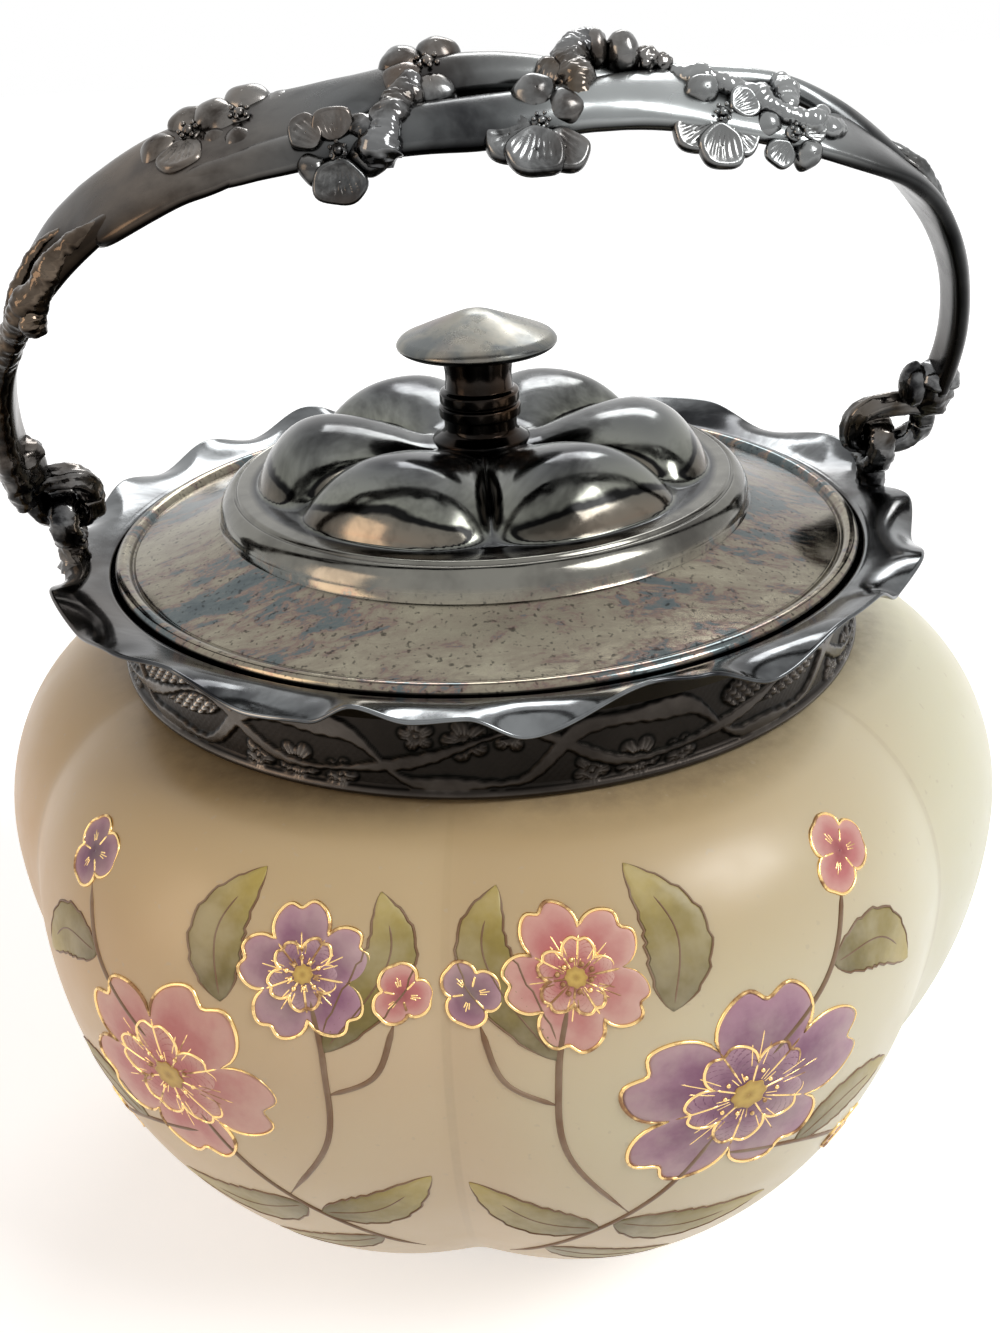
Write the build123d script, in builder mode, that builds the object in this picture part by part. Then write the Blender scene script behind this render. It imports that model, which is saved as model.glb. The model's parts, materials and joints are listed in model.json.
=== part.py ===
"""Biscuit jar: a six-lobed opal glass bowl in a silver-plated mount, with a
lift-off lobed lid and an openwork swing bail dressed with cast blossoms.

Millimetres, +Z up, origin at the centre of the flat base.
"""
from build123d import *
from math import asin, cos, degrees, pi, radians, sin, sqrt, tan
import os

# ---- Glass bowl ----------------------------------------------------------
lobe_count = 6
lobe_turn = -13.0  # direction of the first glass lobe, from +X
lobe_axis_radius = 30.0  # each lobe is round about an axis this far out
belly_radius = 97.2  # crest of a lobe at its widest
belly_height = 82.0
belly_curve_margin = 11.5  # the crest's curve to the foot is larger than the belly's height
belly_curve = belly_height + belly_curve_margin
shoulder_radius = 68.8  # where the crest runs in under the collar
glass_wall = 5.0
floor_thickness = 7.0
punt_radius = 26.0  # shallow hollow under the base
punt_depth = 1.2
neck_radius = 64.0
neck_bore_radius = 59.5
core_radius = 30.0  # solid middle of the base, inside the seams

# ---- Collar, cement and gallery -------------------------------------------
sheet = 1.2  # gauge of the plated sheet metal
collar_radius = 68.8
seat_height = 133.4  # top of the ledge that carries the lid
shoulder_drop = 16.2  # seat to the glass shoulder
shoulder_height = seat_height - shoulder_drop
ledge_inner_radius = 61.5
rim_gap = 0.3  # glass rim to the ledge above it
collar_bead = 1.0  # radius of the beads along the band's two edges
shoulder_gap = 0.2  # band and cement to the glass shoulder
trough_radius = 71.5  # flat trough outside the lid, where the ruffles start
ruffle_lap = 2.0  # the ruffles start this far inside the trough's edge,
ruffle_dip = 0.4  # and this far below its top
ruffle_slope = 1.7
ruffle_edge_radius = 78.4
ruffle_rise = 0.9  # further curl of the edge
ruffle_count = 10
ruffle_turn = 0.0  # direction of the first tall ruffle, from +X
ruffle_wave = 2.0
ruffle_ripple = 0.9  # small wave between two tall ones
ruffle_reach = 0.9
ruffle_rows = 6  # points of a ruffle's surface: rings across it,
ruffle_steps = 8  # and steps from its middle to each side

# ---- Lid -------------------------------------------------------------------
lid_radius = 68.4
lid_seat_gap = 0.2
rim_bead_radius = 1.5
step_radius = 48.6  # foot of the raised roll round the dome
step_height = 6.0  # plate rises this far from rim to roll
roll_height = 5.2  # roll above the foot of the step
gutter_radius = 42.4
gutter_height = 11.4
dome_lobe_turn = -5.5
dome_crown_height = 16.8  # ground of the dome, at the knob
dome_crown_radius = 9.5
egg_axis_height = 5.4  # the dome's lobes are eggs about level axes
egg_centre_radius = 29.0
egg_half_width = 16.4
egg_outer_length = 13.9
egg_inner_length = 17.6
skirt_radius = 58.6
skirt_depth = 8.0  # below the ledge
stud_hole_gap = 0.25

# ---- Knob ------------------------------------------------------------------
knob_foot_radius = 8.9
knob_foot_height = 2.2
stem_radius = 6.6
stem_waist_radius = 5.9
ring_radius = 7.4
ring_height = 2.4
knob_height = 16.6  # dome to the underside of the cap
cap_radius = 14.6
cap_lip = 1.3
cap_rise = 5.8
cap_socket = 1.6
stud_radius = 2.0
washer_radius = 5.0
nut_across_flats = 7.0
nut_height = 3.0
stud_end = 1.0  # stands out under the nut

# ---- Ears and bail -----------------------------------------------------------
pivot_rise = 10.9  # seat to the bail's pivots
pivot_height = seat_height + pivot_rise
ear_radius = 75.5  # centre of each ear's eye, from the jar's axis
eye_hole_radius = 2.2
eye_wire_radius = 1.5
ear_post_radius = 2.0
ear_foot_radius = 3.4
ear_foot_height = 1.6
pivot_clearance = 0.3
shackle_wire_radius = eye_hole_radius - pivot_clearance
shackle_side_clearance = 0.6
shackle_drop = 9.6  # pivot to the shackle's top bar
bail_lean = 26.0  # towards the front, as it rests in the hand
bail_half_width = 82.0
bail_shift = 2.0  # the arch hangs this far off the ears' middle
bail_rise = 75.0  # pivots to the crown of the arch
crown_curve = 225.0
leg_height = 18.0  # where the legs start to turn in
bail_thickness = 2.6
bail_width = 16.0
leg_width = 10.4
knuckle_radius = 4.0
knuckle_height = 5.0
knuckle_lap = 2.5  # the knuckle wraps this far up the band's leg

# ---- Cast sprays on the bail ---------------------------------------------------
branch_bend = 2.5
thick_branch_radius = 1.9
thin_branch_radius = 1.7
large_blossom = 11.0
middle_blossom = 9.5
small_blossom = 8.4
petal_count = 5
petal_share = 0.29  # of a blossom's width: radius of a petal,
petal_ring_share = 0.3  # ring of the petals' middles, and of the blossom's disc,
petal_height_share = 0.17  # height of a petal,
pistil_share = 0.1  # and radius of the round middle
stalk_radius = 1.0
stalk_length = 2.4
bud_radius = 1.9
leaf_length = 7.0
leaf_width = 3.0
leaf_height = 1.2


# ---- Glass bowl ----------------------------------------------------------------
def lobe_wedge(lobe):
    """The part of a lobe that belongs to its own sixth of the jar."""
    reach = 2 * belly_radius
    half = pi / lobe_count
    with BuildPart() as wedge:
        add(lobe)
        with BuildSketch() as sixth:
            Polygon((0, 0), (reach, -reach * tan(half)), (reach, reach * tan(half)), align=None)
        extrude(amount=2 * pivot_height, mode=Mode.INTERSECT)
    return wedge.part


def lobe_solid(inset, bottom, top, top_radius):
    """A lobe of the bowl, round about its own upright axis."""
    crest = belly_radius - inset
    curve = belly_curve - inset
    sweep_in = sqrt(curve**2 - (belly_height - bottom) ** 2)
    foot = crest - curve + sweep_in
    with BuildPart() as lobe:
        with BuildSketch(Plane.XZ):
            with BuildLine():
                Line((lobe_axis_radius, bottom), (foot, bottom))
                RadiusArc((foot, bottom), (crest, belly_height), -curve)
                EllipticalCenterArc(
                    (top_radius, belly_height), crest - top_radius, top - belly_height
                )
                Line((top_radius, top), (lobe_axis_radius, top))
                Line((lobe_axis_radius, top), (lobe_axis_radius, bottom))
            make_face()
        revolve(axis=Axis((lobe_axis_radius, 0, 0), (0, 0, 1)))
    return lobe_wedge(lobe.part)


rim_height = seat_height - sheet - rim_gap
outer_lobe = lobe_solid(0, 0, shoulder_height, shoulder_radius)
inner_lobe = lobe_solid(
    glass_wall, floor_thickness, shoulder_height - glass_wall, neck_bore_radius
)

with BuildPart() as glass_bowl:
    with PolarLocations(0, lobe_count, start_angle=lobe_turn):
        add(outer_lobe)
    Cylinder(core_radius, 2 * floor_thickness, align=(Align.CENTER, Align.CENTER, Align.MIN))
    with BuildSketch(Plane.XY.offset(belly_height)):
        Circle(neck_radius)
    extrude(amount=rim_height - belly_height)
    with PolarLocations(0, lobe_count, start_angle=lobe_turn):
        add(inner_lobe, mode=Mode.SUBTRACT)
    with BuildSketch(Plane.XY.offset(floor_thickness)):
        Circle(core_radius)
    extrude(amount=belly_height - floor_thickness, mode=Mode.SUBTRACT)
    with BuildSketch(Plane.XY.offset(belly_height)):
        Circle(neck_bore_radius)
    extrude(amount=rim_height - belly_height, mode=Mode.SUBTRACT)
    with BuildSketch():
        Circle(punt_radius)
    extrude(amount=punt_depth, mode=Mode.SUBTRACT)


# ---- Collar band, cement and gallery -------------------------------------------
ledge_underside = seat_height - sheet
band_bottom = shoulder_height + shoulder_gap
band_inner_radius = collar_radius - sheet

with BuildPart() as collar_band:
    with BuildSketch(Plane.XY.offset(band_bottom)):
        Circle(collar_radius)
        Circle(band_inner_radius, mode=Mode.SUBTRACT)
    extrude(amount=ledge_underside - band_bottom)
    with BuildSketch(Plane.XZ):
        for height in (band_bottom + collar_bead, ledge_underside - 2 * collar_bead):
            with Locations((collar_radius, height)):
                Circle(collar_bead)
    revolve(axis=Axis.Z)

with BuildPart() as setting_cement:
    with BuildSketch(Plane.XY.offset(band_bottom)):
        Circle(band_inner_radius)
        Circle(neck_radius, mode=Mode.SUBTRACT)
    extrude(amount=rim_height - band_bottom)


def ruffle_height(share, angle):
    """Top of the gallery: share runs from inside the trough's ring, 0, to the edge, 1."""
    turn = radians(ruffle_count * angle)
    wave = ruffle_wave * cos(turn) + ruffle_ripple * cos(2 * turn)
    return seat_height - ruffle_dip + ruffle_slope * share + share**2 * (ruffle_rise + wave)


def ruffle_point(share, angle):
    """A point of the ruffle's top, angle in degrees from the tall wave's middle."""
    edge = ruffle_edge_radius + ruffle_reach * cos(radians(ruffle_count * angle))
    start = trough_radius - ruffle_lap
    radius = start + share * (edge - start)
    across = radius * cos(radians(angle))
    return Vector(across, radius * sin(radians(angle)), ruffle_height(share, angle))


def ruffle_sector(depth):
    """One ruffle of the gallery, as deep as asked below its top."""
    half = 180 / ruffle_count
    shares = [row / ruffle_rows for row in range(ruffle_rows + 1)]
    angles = [half * step / ruffle_steps for step in range(-ruffle_steps, ruffle_steps + 1)]
    rows = [[ruffle_point(share, angle) for angle in angles] for share in shares]
    with BuildPart() as sector:
        extrude(Face.make_surface_from_array_of_points(rows), amount=depth, dir=(0, 0, -1))
    return sector.part


def ruffle_ring(depth):
    """All the ruffles, joined to the ring of the trough."""
    sector = ruffle_sector(depth)
    with BuildPart() as ring:
        with PolarLocations(0, ruffle_count, start_angle=ruffle_turn):
            add(sector)
    return ring.part


with BuildPart() as gallery:
    add(ruffle_ring(sheet))
    with BuildSketch(Plane.XY.offset(ledge_underside)):
        Circle(trough_radius)
        Circle(ledge_inner_radius, mode=Mode.SUBTRACT)
    extrude(amount=sheet)


# ---- Lid --------------------------------------------------------------------------
lid_base = seat_height + lid_seat_gap + rim_bead_radius  # middle of the rolled rim
step_foot = lid_base + step_height
gutter_level = lid_base + gutter_height
crown_level = lid_base + dome_crown_height
egg_level = lid_base + egg_axis_height


def egg_solid(inset):
    """A lobe of the dome: an egg about a level axis that points out from the knob."""
    half_width = egg_half_width - inset
    outer_length = egg_outer_length - inset
    inner_length = egg_inner_length - inset
    with BuildPart() as egg:
        with BuildSketch(Plane.XZ):
            with BuildLine():
                EllipticalCenterArc((egg_centre_radius, egg_level), outer_length, half_width)
                EllipticalCenterArc(
                    (egg_centre_radius, egg_level), inner_length, half_width, start_angle=90
                )
                Line(
                    (egg_centre_radius - inner_length, egg_level),
                    (egg_centre_radius + outer_length, egg_level),
                )
            make_face()
        revolve(axis=Axis((0, 0, egg_level), (1, 0, 0)))
    return lobe_wedge(egg.part)


def dome_solid(inset):
    """The dome of the lid, filled down to the level of the lid's rim."""
    egg = egg_solid(inset)
    with BuildPart() as dome:
        with BuildSketch(Plane.XZ):
            with BuildLine():
                Polyline(
                    (0, lid_base),
                    (gutter_radius, lid_base),
                    (gutter_radius, gutter_level - inset),
                    (dome_crown_radius, crown_level - inset),
                    (0, crown_level - inset),
                    close=True,
                )
            make_face()
        revolve(axis=Axis.Z)
        with PolarLocations(0, lobe_count, start_angle=dome_lobe_turn):
            add(egg)
        with BuildSketch(Plane.XY.offset(lid_base)):
            Circle(lid_radius)
        extrude(amount=-lid_base, mode=Mode.SUBTRACT)
    return dome.part


roll_radius = 0.5 * (gutter_radius + step_radius)
with BuildPart() as lid_cover:
    add(dome_solid(0))
    with BuildSketch(Plane.XY.offset(gutter_level - sheet)):
        Circle(lid_radius)
    extrude(amount=-gutter_height, mode=Mode.SUBTRACT)
    with BuildSketch(Plane.XZ):
        with BuildLine():
            Line((gutter_radius - sheet, gutter_level), (gutter_radius + sheet, gutter_level))
            ThreePointArc(
                (gutter_radius + sheet, gutter_level),
                (roll_radius, step_foot + roll_height),
                (step_radius, step_foot),
            )
            Line((step_radius, step_foot), (lid_radius - rim_bead_radius, lid_base))
            offset(amount=sheet / 2)
        make_face()
    with BuildSketch(Plane.XZ):
        with Locations((lid_radius - rim_bead_radius, lid_base)):
            Circle(rim_bead_radius)
    revolve(axis=Axis.Z)
    add(dome_solid(sheet), mode=Mode.SUBTRACT)
    with BuildSketch(Plane.XY.offset(lid_base)):
        Circle(stud_radius + stud_hole_gap)
    extrude(amount=2 * dome_crown_height, mode=Mode.SUBTRACT)


def plate_underside(radius):
    """Height of the sloping plate's underside at a radius."""
    fall = step_height / (lid_radius - rim_bead_radius - step_radius)
    middle = lid_base + fall * (lid_radius - rim_bead_radius - radius)
    return middle - 0.5 * sheet * sqrt(1 + fall**2)


with BuildPart() as lid_skirt:
    with BuildSketch(Plane.XZ):
        with BuildLine():
            Polyline(
                (skirt_radius - sheet, ledge_underside - skirt_depth),
                (skirt_radius, ledge_underside - skirt_depth),
                (skirt_radius, plate_underside(skirt_radius)),
                (skirt_radius - sheet, plate_underside(skirt_radius - sheet)),
                close=True,
            )
        make_face()
    revolve(axis=Axis.Z)


# ---- Knob -------------------------------------------------------------------------
cap_underside = crown_level + knob_height
rings_foot = crown_level + knob_foot_height + ring_height
rings_top = rings_foot + 2 * ring_height

with BuildPart() as knob_stem:
    with BuildSketch(Plane.XZ):
        with BuildLine():
            Polyline(
                (0, crown_level),
                (knob_foot_radius, crown_level),
                (knob_foot_radius, crown_level + 0.3 * knob_foot_height),
                (stem_radius, crown_level + knob_foot_height),
                (stem_radius, rings_top),
            )
            ThreePointArc(
                (stem_radius, rings_top),
                (stem_waist_radius, 0.6 * rings_top + 0.4 * cap_underside),
                (stem_radius, cap_underside),
            )
            Polyline(
                (stem_radius, cap_underside),
                (stem_radius, cap_underside + cap_socket),
                (0, cap_underside + cap_socket),
                (0, crown_level),
            )
        make_face()
        with Locations(
            (ring_radius - 0.5 * ring_height, rings_foot + 0.5 * ring_height),
            (ring_radius - 0.5 * ring_height, rings_foot + 1.5 * ring_height),
        ):
            Circle(0.5 * ring_height)
    revolve(axis=Axis.Z)
    stud_top = crown_level + 0.5 * knob_height
    with BuildSketch(Plane.XY.offset(crown_level)):
        Circle(stud_radius)
    extrude(amount=stud_top - crown_level, mode=Mode.SUBTRACT)

with BuildPart() as knob_cap:
    with BuildSketch(Plane.XZ):
        with BuildLine():
            lip_low = (cap_radius - 0.5 * cap_lip, cap_underside)
            lip_high = (cap_radius - 0.5 * cap_lip, cap_underside + cap_lip)
            Polyline(
                (0, cap_underside + cap_socket),
                (stem_radius, cap_underside + cap_socket),
                (stem_radius, cap_underside),
                lip_low,
            )
            ThreePointArc(lip_low, (cap_radius, cap_underside + 0.5 * cap_lip), lip_high)
            Polyline(
                lip_high,
                (0, cap_underside + cap_lip + cap_rise),
                (0, cap_underside + cap_socket),
            )
        make_face()
    revolve(axis=Axis.Z)

washer_top = crown_level - sheet
nut_top = washer_top - sheet

with BuildPart() as knob_washer:
    with BuildSketch(Plane.XY.offset(nut_top)):
        Circle(washer_radius)
        Circle(stud_radius + stud_hole_gap, mode=Mode.SUBTRACT)
    extrude(amount=washer_top - nut_top)

with BuildPart() as knob_nut:
    with BuildSketch(Plane.XY.offset(nut_top)):
        RegularPolygon(nut_across_flats / 2, 6, major_radius=False)
        Circle(stud_radius, mode=Mode.SUBTRACT)
    extrude(amount=-nut_height)

with BuildPart() as knob_stud:
    with BuildSketch(Plane.XY.offset(nut_top - nut_height - stud_end)):
        Circle(stud_radius)
    extrude(amount=stud_top - nut_top + nut_height + stud_end)


# ---- Ears --------------------------------------------------------------------------
eye_radius = eye_hole_radius + eye_wire_radius
under_gallery = ruffle_ring(pivot_height - seat_height)
edge_start = trough_radius - ruffle_lap
ear_share = (ear_radius - edge_start) / (ruffle_edge_radius + ruffle_reach - edge_start)
ear_foot_level = ruffle_height(ear_share, 0)


def ear_solid(side):
    """A looped ear that stands on the gallery: side is 1 or -1 along X."""
    centre = Vector(side * ear_radius, 0, pivot_height)
    with BuildPart() as ear:
        with Locations(Plane(centre, x_dir=(0, 1, 0), z_dir=(1, 0, 0))):
            Torus(eye_radius, eye_wire_radius)
        with BuildSketch(Plane.XY.offset(pivot_height - eye_radius)):
            with Locations((centre.X, 0)):
                Circle(ear_post_radius)
        extrude(amount=seat_height - pivot_height + eye_radius)
        with Locations((centre.X, 0, ear_foot_level)):
            Cone(ear_foot_radius, ear_post_radius, 2 * ear_foot_height)
        add(under_gallery, mode=Mode.SUBTRACT)
    return ear.part


with BuildPart() as ear_left:
    add(ear_solid(-1))

with BuildPart() as ear_right:
    add(ear_solid(1))


# ---- Bail: an arch in a plane that leans to the front ---------------------------------
lean = radians(bail_lean)
bail_front = Vector(0, -cos(lean), -sin(lean))
bail_up = Vector(0, -sin(lean), cos(lean))
pivot_middle = Vector(0, 0, pivot_height)
arch_middle = pivot_middle + Vector(bail_shift, 0, 0)
arch_plane = Plane(arch_middle, x_dir=(1, 0, 0), z_dir=bail_front)

# The crown's arc runs into a smaller arc at each shoulder, upright at the leg.
leg_to_crown = bail_rise - leg_height
crown_to_leg_level = crown_curve - leg_to_crown
shoulder_curve = (crown_curve**2 - bail_half_width**2 - crown_to_leg_level**2) / (
    2 * (crown_curve - bail_half_width)
)
shoulder_centre = bail_half_width - shoulder_curve
crown_half_angle = degrees(asin(shoulder_centre / (crown_curve - shoulder_curve)))


def arch_point(angle, lift=0):
    """A point of the arch in its plane: angle of its outward normal from straight up."""
    turn = radians(angle)
    if abs(angle) <= crown_half_angle:
        reach = crown_curve + lift
        return Vector(reach * sin(turn), bail_rise - crown_curve + reach * cos(turn))
    side = 1 if angle > 0 else -1
    reach = shoulder_curve + lift
    return Vector(side * shoulder_centre + reach * sin(turn), leg_height + reach * cos(turn))


def bail_place(angle, front=0, lift=0, tilt=0):
    """A plane on the band: front is towards the front edge, lift is off its middle,
    and tilt turns the plane from the band's outside towards the front."""
    turn = radians(angle)
    spot = arch_point(angle, lift)
    origin = arch_middle + Vector(1, 0, 0) * spot.X + bail_up * spot.Y + bail_front * front
    outward = Vector(1, 0, 0) * sin(turn) + bail_up * cos(turn)
    facing = outward * cos(radians(tilt)) + bail_front * sin(radians(tilt))
    along = Vector(1, 0, 0) * cos(turn) - bail_up * sin(turn)
    return Plane(origin, x_dir=along, z_dir=facing)


leg_foot = shackle_drop + knuckle_height
# Each opening of the band: angle, front, length, width.
crown_slot = (0.7, -1.0, 22.0, 3.2)
right_slot = (11.5, -4.0, 9.0, 2.4)
right_shoulder_slot = (21.0, -2.8, 7.0, 2.4)
left_slot = (-6.2, 3.6, 12.0, 2.2)
left_shoulder_slot = (-49.0, -1.0, 9.0, 3.0)
openings = [crown_slot, right_slot, right_shoulder_slot, left_slot, left_shoulder_slot]

with BuildPart() as bail_band:
    with BuildSketch(arch_plane):
        with BuildLine():
            Line((-bail_half_width, leg_foot), arch_point(-90))
            ThreePointArc(arch_point(-90), arch_point(-60), arch_point(-crown_half_angle))
            ThreePointArc(arch_point(-crown_half_angle), arch_point(0), arch_point(crown_half_angle))
            ThreePointArc(arch_point(crown_half_angle), arch_point(60), arch_point(90))
            Line(arch_point(90), (bail_half_width, leg_foot))
            offset(amount=bail_thickness / 2)
        make_face()
    extrude(amount=bail_width / 2, both=True)
    with BuildSketch(Plane(pivot_middle, x_dir=bail_front, z_dir=(-1, 0, 0))):
        with BuildLine():
            shoulder_level = arch_point(50).Y
            Polyline((leg_width / 2, 0), (leg_width / 2, leg_foot))
            Spline(
                (leg_width / 2, leg_foot),
                (bail_width / 2, shoulder_level),
                tangents=((0, 1), (0, 1)),
            )
            Polyline(
                (bail_width / 2, shoulder_level),
                (bail_width / 2, 2 * bail_rise),
                (-bail_width / 2, 2 * bail_rise),
                (-bail_width / 2, shoulder_level),
            )
            Spline(
                (-bail_width / 2, shoulder_level),
                (-leg_width / 2, leg_foot),
                tangents=((0, -1), (0, -1)),
            )
            Polyline((-leg_width / 2, leg_foot), (-leg_width / 2, 0), (leg_width / 2, 0))
        make_face()
    extrude(amount=2 * bail_half_width, both=True, mode=Mode.INTERSECT)
    for angle, front, length, width in openings:
        with BuildSketch(bail_place(angle, front)):
            SlotOverall(length, width)
        extrude(amount=2 * bail_thickness, both=True, mode=Mode.SUBTRACT)


# ---- Shackles: the looped ends of the bail, linked through the ears ---------------------
shackle_half = eye_wire_radius + shackle_side_clearance + shackle_wire_radius
knuckle_foot = shackle_drop - shackle_wire_radius
loop_plane = Plane(pivot_middle, x_dir=(1, 0, 0), z_dir=bail_front)


def shackle_solid(side):
    """The closed loop that hangs in an ear, and the knuckle that joins it to the band."""
    inner = side * (ear_radius - shackle_half)
    outer = side * bail_half_width + bail_shift
    leg = pivot_middle + Vector(outer, 0, 0) + bail_up * knuckle_foot
    with BuildPart() as shackle:
        with BuildSketch(loop_plane, mode=Mode.PRIVATE) as outline:
            with Locations(((inner + outer) / 2, shackle_drop / 2)):
                RectangleRounded(abs(outer - inner), shackle_drop, shackle_half / 2)
        loop = outline.sketch.face().outer_wire()
        with BuildSketch(Plane(loop @ 0, z_dir=loop % 0)):
            Circle(shackle_wire_radius)
        sweep(path=loop)
        with BuildSketch(Plane(leg, x_dir=(1, 0, 0), z_dir=bail_up)):
            Circle(knuckle_radius)
        extrude(amount=leg_foot + knuckle_lap - knuckle_foot)
        add(bail_band.part, mode=Mode.SUBTRACT)
    return shackle.part


with BuildPart() as bail_shackle_left:
    add(shackle_solid(-1))

with BuildPart() as bail_shackle_right:
    add(shackle_solid(1))


# ---- Cast sprays soldered on the band -----------------------------------------------------
def branch_solid(spots, radius):
    """A rough branch along places of the band given as (angle, front, lift)."""
    points = [bail_place(*spot).origin for spot in spots]
    with BuildPart() as branch:
        with BuildLine():
            path = FilletPolyline(*points, radius=branch_bend)
        with BuildSketch(Plane(path @ 0, z_dir=path % 0)):
            Circle(radius)
        sweep(path=path)
        with Locations(path @ 0, path @ 1):
            Sphere(radius)
    return branch.part


def blossom_solid(across):
    """A five-petalled blossom that faces +Z, on a short stalk."""
    petal_radius = petal_share * across
    petal_height = petal_height_share * across
    petal_ring = petal_ring_share * across
    dome = (petal_radius**2 + petal_height**2) / (2 * petal_height)
    with BuildPart() as blossom:
        with BuildSketch():
            Circle(petal_ring)
        extrude(amount=0.5 * petal_height)
        with PolarLocations(petal_ring, petal_count, start_angle=90):
            with Locations((0, 0, petal_height - dome)):
                Sphere(dome)
        with Locations((0, 0, petal_height)):
            Sphere(pistil_share * across)
        with BuildSketch():
            Circle(2 * across)
        extrude(amount=-across, mode=Mode.SUBTRACT)
        with BuildSketch():
            Circle(stalk_radius)
        extrude(amount=-stalk_length)
    return blossom.part


def bud_solid(spot, radius):
    """A round bud at a place of the band."""
    with BuildPart() as bud:
        with Locations(bail_place(*spot)):
            Sphere(radius)
    return bud.part


def leaf_solid(angle, front, turn):
    """A small leaf laid on the outside of the band, turned about its middle."""
    with BuildPart() as leaf:
        with BuildSketch(bail_place(angle, front, bail_thickness / 2)):
            Ellipse(leaf_length / 2, leaf_width / 2, rotation=turn)
        extrude(amount=leaf_height)
    return leaf.part


def blossom_on(spot, across):
    """A blossom at a place of the band given as (angle, front, lift, tilt)."""
    return bail_place(*spot).location * blossom_solid(across)


def seated(solids, carriers):
    """Solids of one spray, cut to sit on the band and on the other carriers."""
    with BuildPart() as piece:
        for solid in solids:
            add(solid)
        for carrier in carriers:
            add(carrier.part, mode=Mode.SUBTRACT)
    return piece.part


# Places on the band as (angle, front, lift), and for a leaf (angle, front, turn).
leg_branch_spots = [
    (-88, 6, 0.6),
    (-76, 8, 0.4),
    (-64, 9.6, 0.2),
    (-52, 9.8, 0.8),
    (-43, 6, 2.6),
    (-38, 1, 2.4),
]
left_branch_spots = [(-8, 8.8, 1.2), (-4.8, 10, 1.4), (-3.6, 4, 2.4), (-2.8, -2.5, 2.4)]
crown_branch_spots = [(2.4, 6, 2.3), (2.8, -3, 2.5), (4, -8.2, 2.8), (6, -8.2, 2.2)]
right_branch_spots = [(7.1, -1, 2.2), (8.6, 2.2, 2.4), (11.6, 5.2, 2.2), (19.6, 7, 1.8)]
bud_spots = [(4.5, -8, 4.8), (5.3, -7.4, 4.8), (6.2, -7.4, 3.2)]
leaf_places = [(42, 0, 30), (45, -3, 150), (48, 0.5, 40), (51, -2.5, 160)]
# Blossoms as (angle, front, lift, tilt).
crown_front_spot = (1.2, 8.9, 1.8, 57)
crown_rear_spot = (-2.7, -3.5, 4, 30)
left_upper_spot = (-9.3, -1.6, 2.4, 15)
left_lower_spot = (-15.4, 1.7, 2.4, 25)
left_edge_spot = (-6.4, 10.4, 2.4, 55)
right_spot = (7.8, 7.2, 2.6, 50)
right_lower_spot = (13, 8.6, 2.2, 60)

with BuildPart() as branch_left_leg:
    add(seated([branch_solid(leg_branch_spots, thick_branch_radius)], [bail_band, bail_shackle_left]))

with BuildPart() as branch_left:
    add(seated([branch_solid(left_branch_spots, thin_branch_radius)], [bail_band]))

with BuildPart() as branch_crown:
    add(seated([branch_solid(crown_branch_spots, thick_branch_radius)], [bail_band]))

with BuildPart() as branch_right:
    add(seated([branch_solid(right_branch_spots, thin_branch_radius)], [bail_band]))

with BuildPart() as blossom_crown_front:
    add(seated([blossom_on(crown_front_spot, large_blossom)], [bail_band, branch_crown]))

with BuildPart() as blossom_crown_rear:
    add(seated([blossom_on(crown_rear_spot, large_blossom)], [bail_band, branch_left]))

with BuildPart() as blossom_left_upper:
    add(seated([blossom_on(left_upper_spot, middle_blossom)], [bail_band]))

with BuildPart() as blossom_left_lower:
    add(seated([blossom_on(left_lower_spot, middle_blossom)], [bail_band, blossom_left_upper]))

with BuildPart() as blossom_left_edge:
    add(seated([blossom_on(left_edge_spot, small_blossom)], [bail_band, branch_left]))

with BuildPart() as blossom_right:
    add(seated([blossom_on(right_spot, middle_blossom)], [bail_band, branch_right]))

with BuildPart() as blossom_right_lower:
    add(
        seated(
            [blossom_on(right_lower_spot, small_blossom)],
            [bail_band, branch_right, blossom_right],
        )
    )

with BuildPart() as buds_crown:
    buds = [bud_solid(spot, bud_radius) for spot in bud_spots]
    add(seated(buds, [bail_band, branch_crown]))

with BuildPart() as leaf_spray:
    add(seated([leaf_solid(*place) for place in leaf_places], [bail_band]))


# ---- Export ---------------------------------------------------------------------------------
pieces = {
    "glass_bowl": glass_bowl,
    "setting_cement": setting_cement,
    "collar_band": collar_band,
    "gallery": gallery,
    "ear_left": ear_left,
    "ear_right": ear_right,
    "lid_cover": lid_cover,
    "lid_skirt": lid_skirt,
    "knob_stem": knob_stem,
    "knob_cap": knob_cap,
    "knob_stud": knob_stud,
    "knob_washer": knob_washer,
    "knob_nut": knob_nut,
    "bail_band": bail_band,
    "bail_shackle_left": bail_shackle_left,
    "bail_shackle_right": bail_shackle_right,
    "branch_left_leg": branch_left_leg,
    "branch_left": branch_left,
    "branch_crown": branch_crown,
    "branch_right": branch_right,
    "blossom_crown_front": blossom_crown_front,
    "blossom_crown_rear": blossom_crown_rear,
    "blossom_left_upper": blossom_left_upper,
    "blossom_left_lower": blossom_left_lower,
    "blossom_left_edge": blossom_left_edge,
    "blossom_right": blossom_right,
    "blossom_right_lower": blossom_right_lower,
    "buds_crown": buds_crown,
    "leaf_spray": leaf_spray,
}

os.makedirs("parts", exist_ok=True)
for name, piece in pieces.items():
    piece.part.label = name
    export_step(piece.part, f"parts/{name}.step")
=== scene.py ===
"""Biscuit jar: a lobed opal glass bowl with painted sprays in a tarnished silver-plated mount.

Sizes are in millimetres and are turned into metres where a mesh is made. The frame
has +Z up, the ears on +X and -X, and the front towards -Y.
"""
import json
import math

import bmesh
import bpy
import numpy as np
from mathutils import Matrix, Vector, noise


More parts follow.
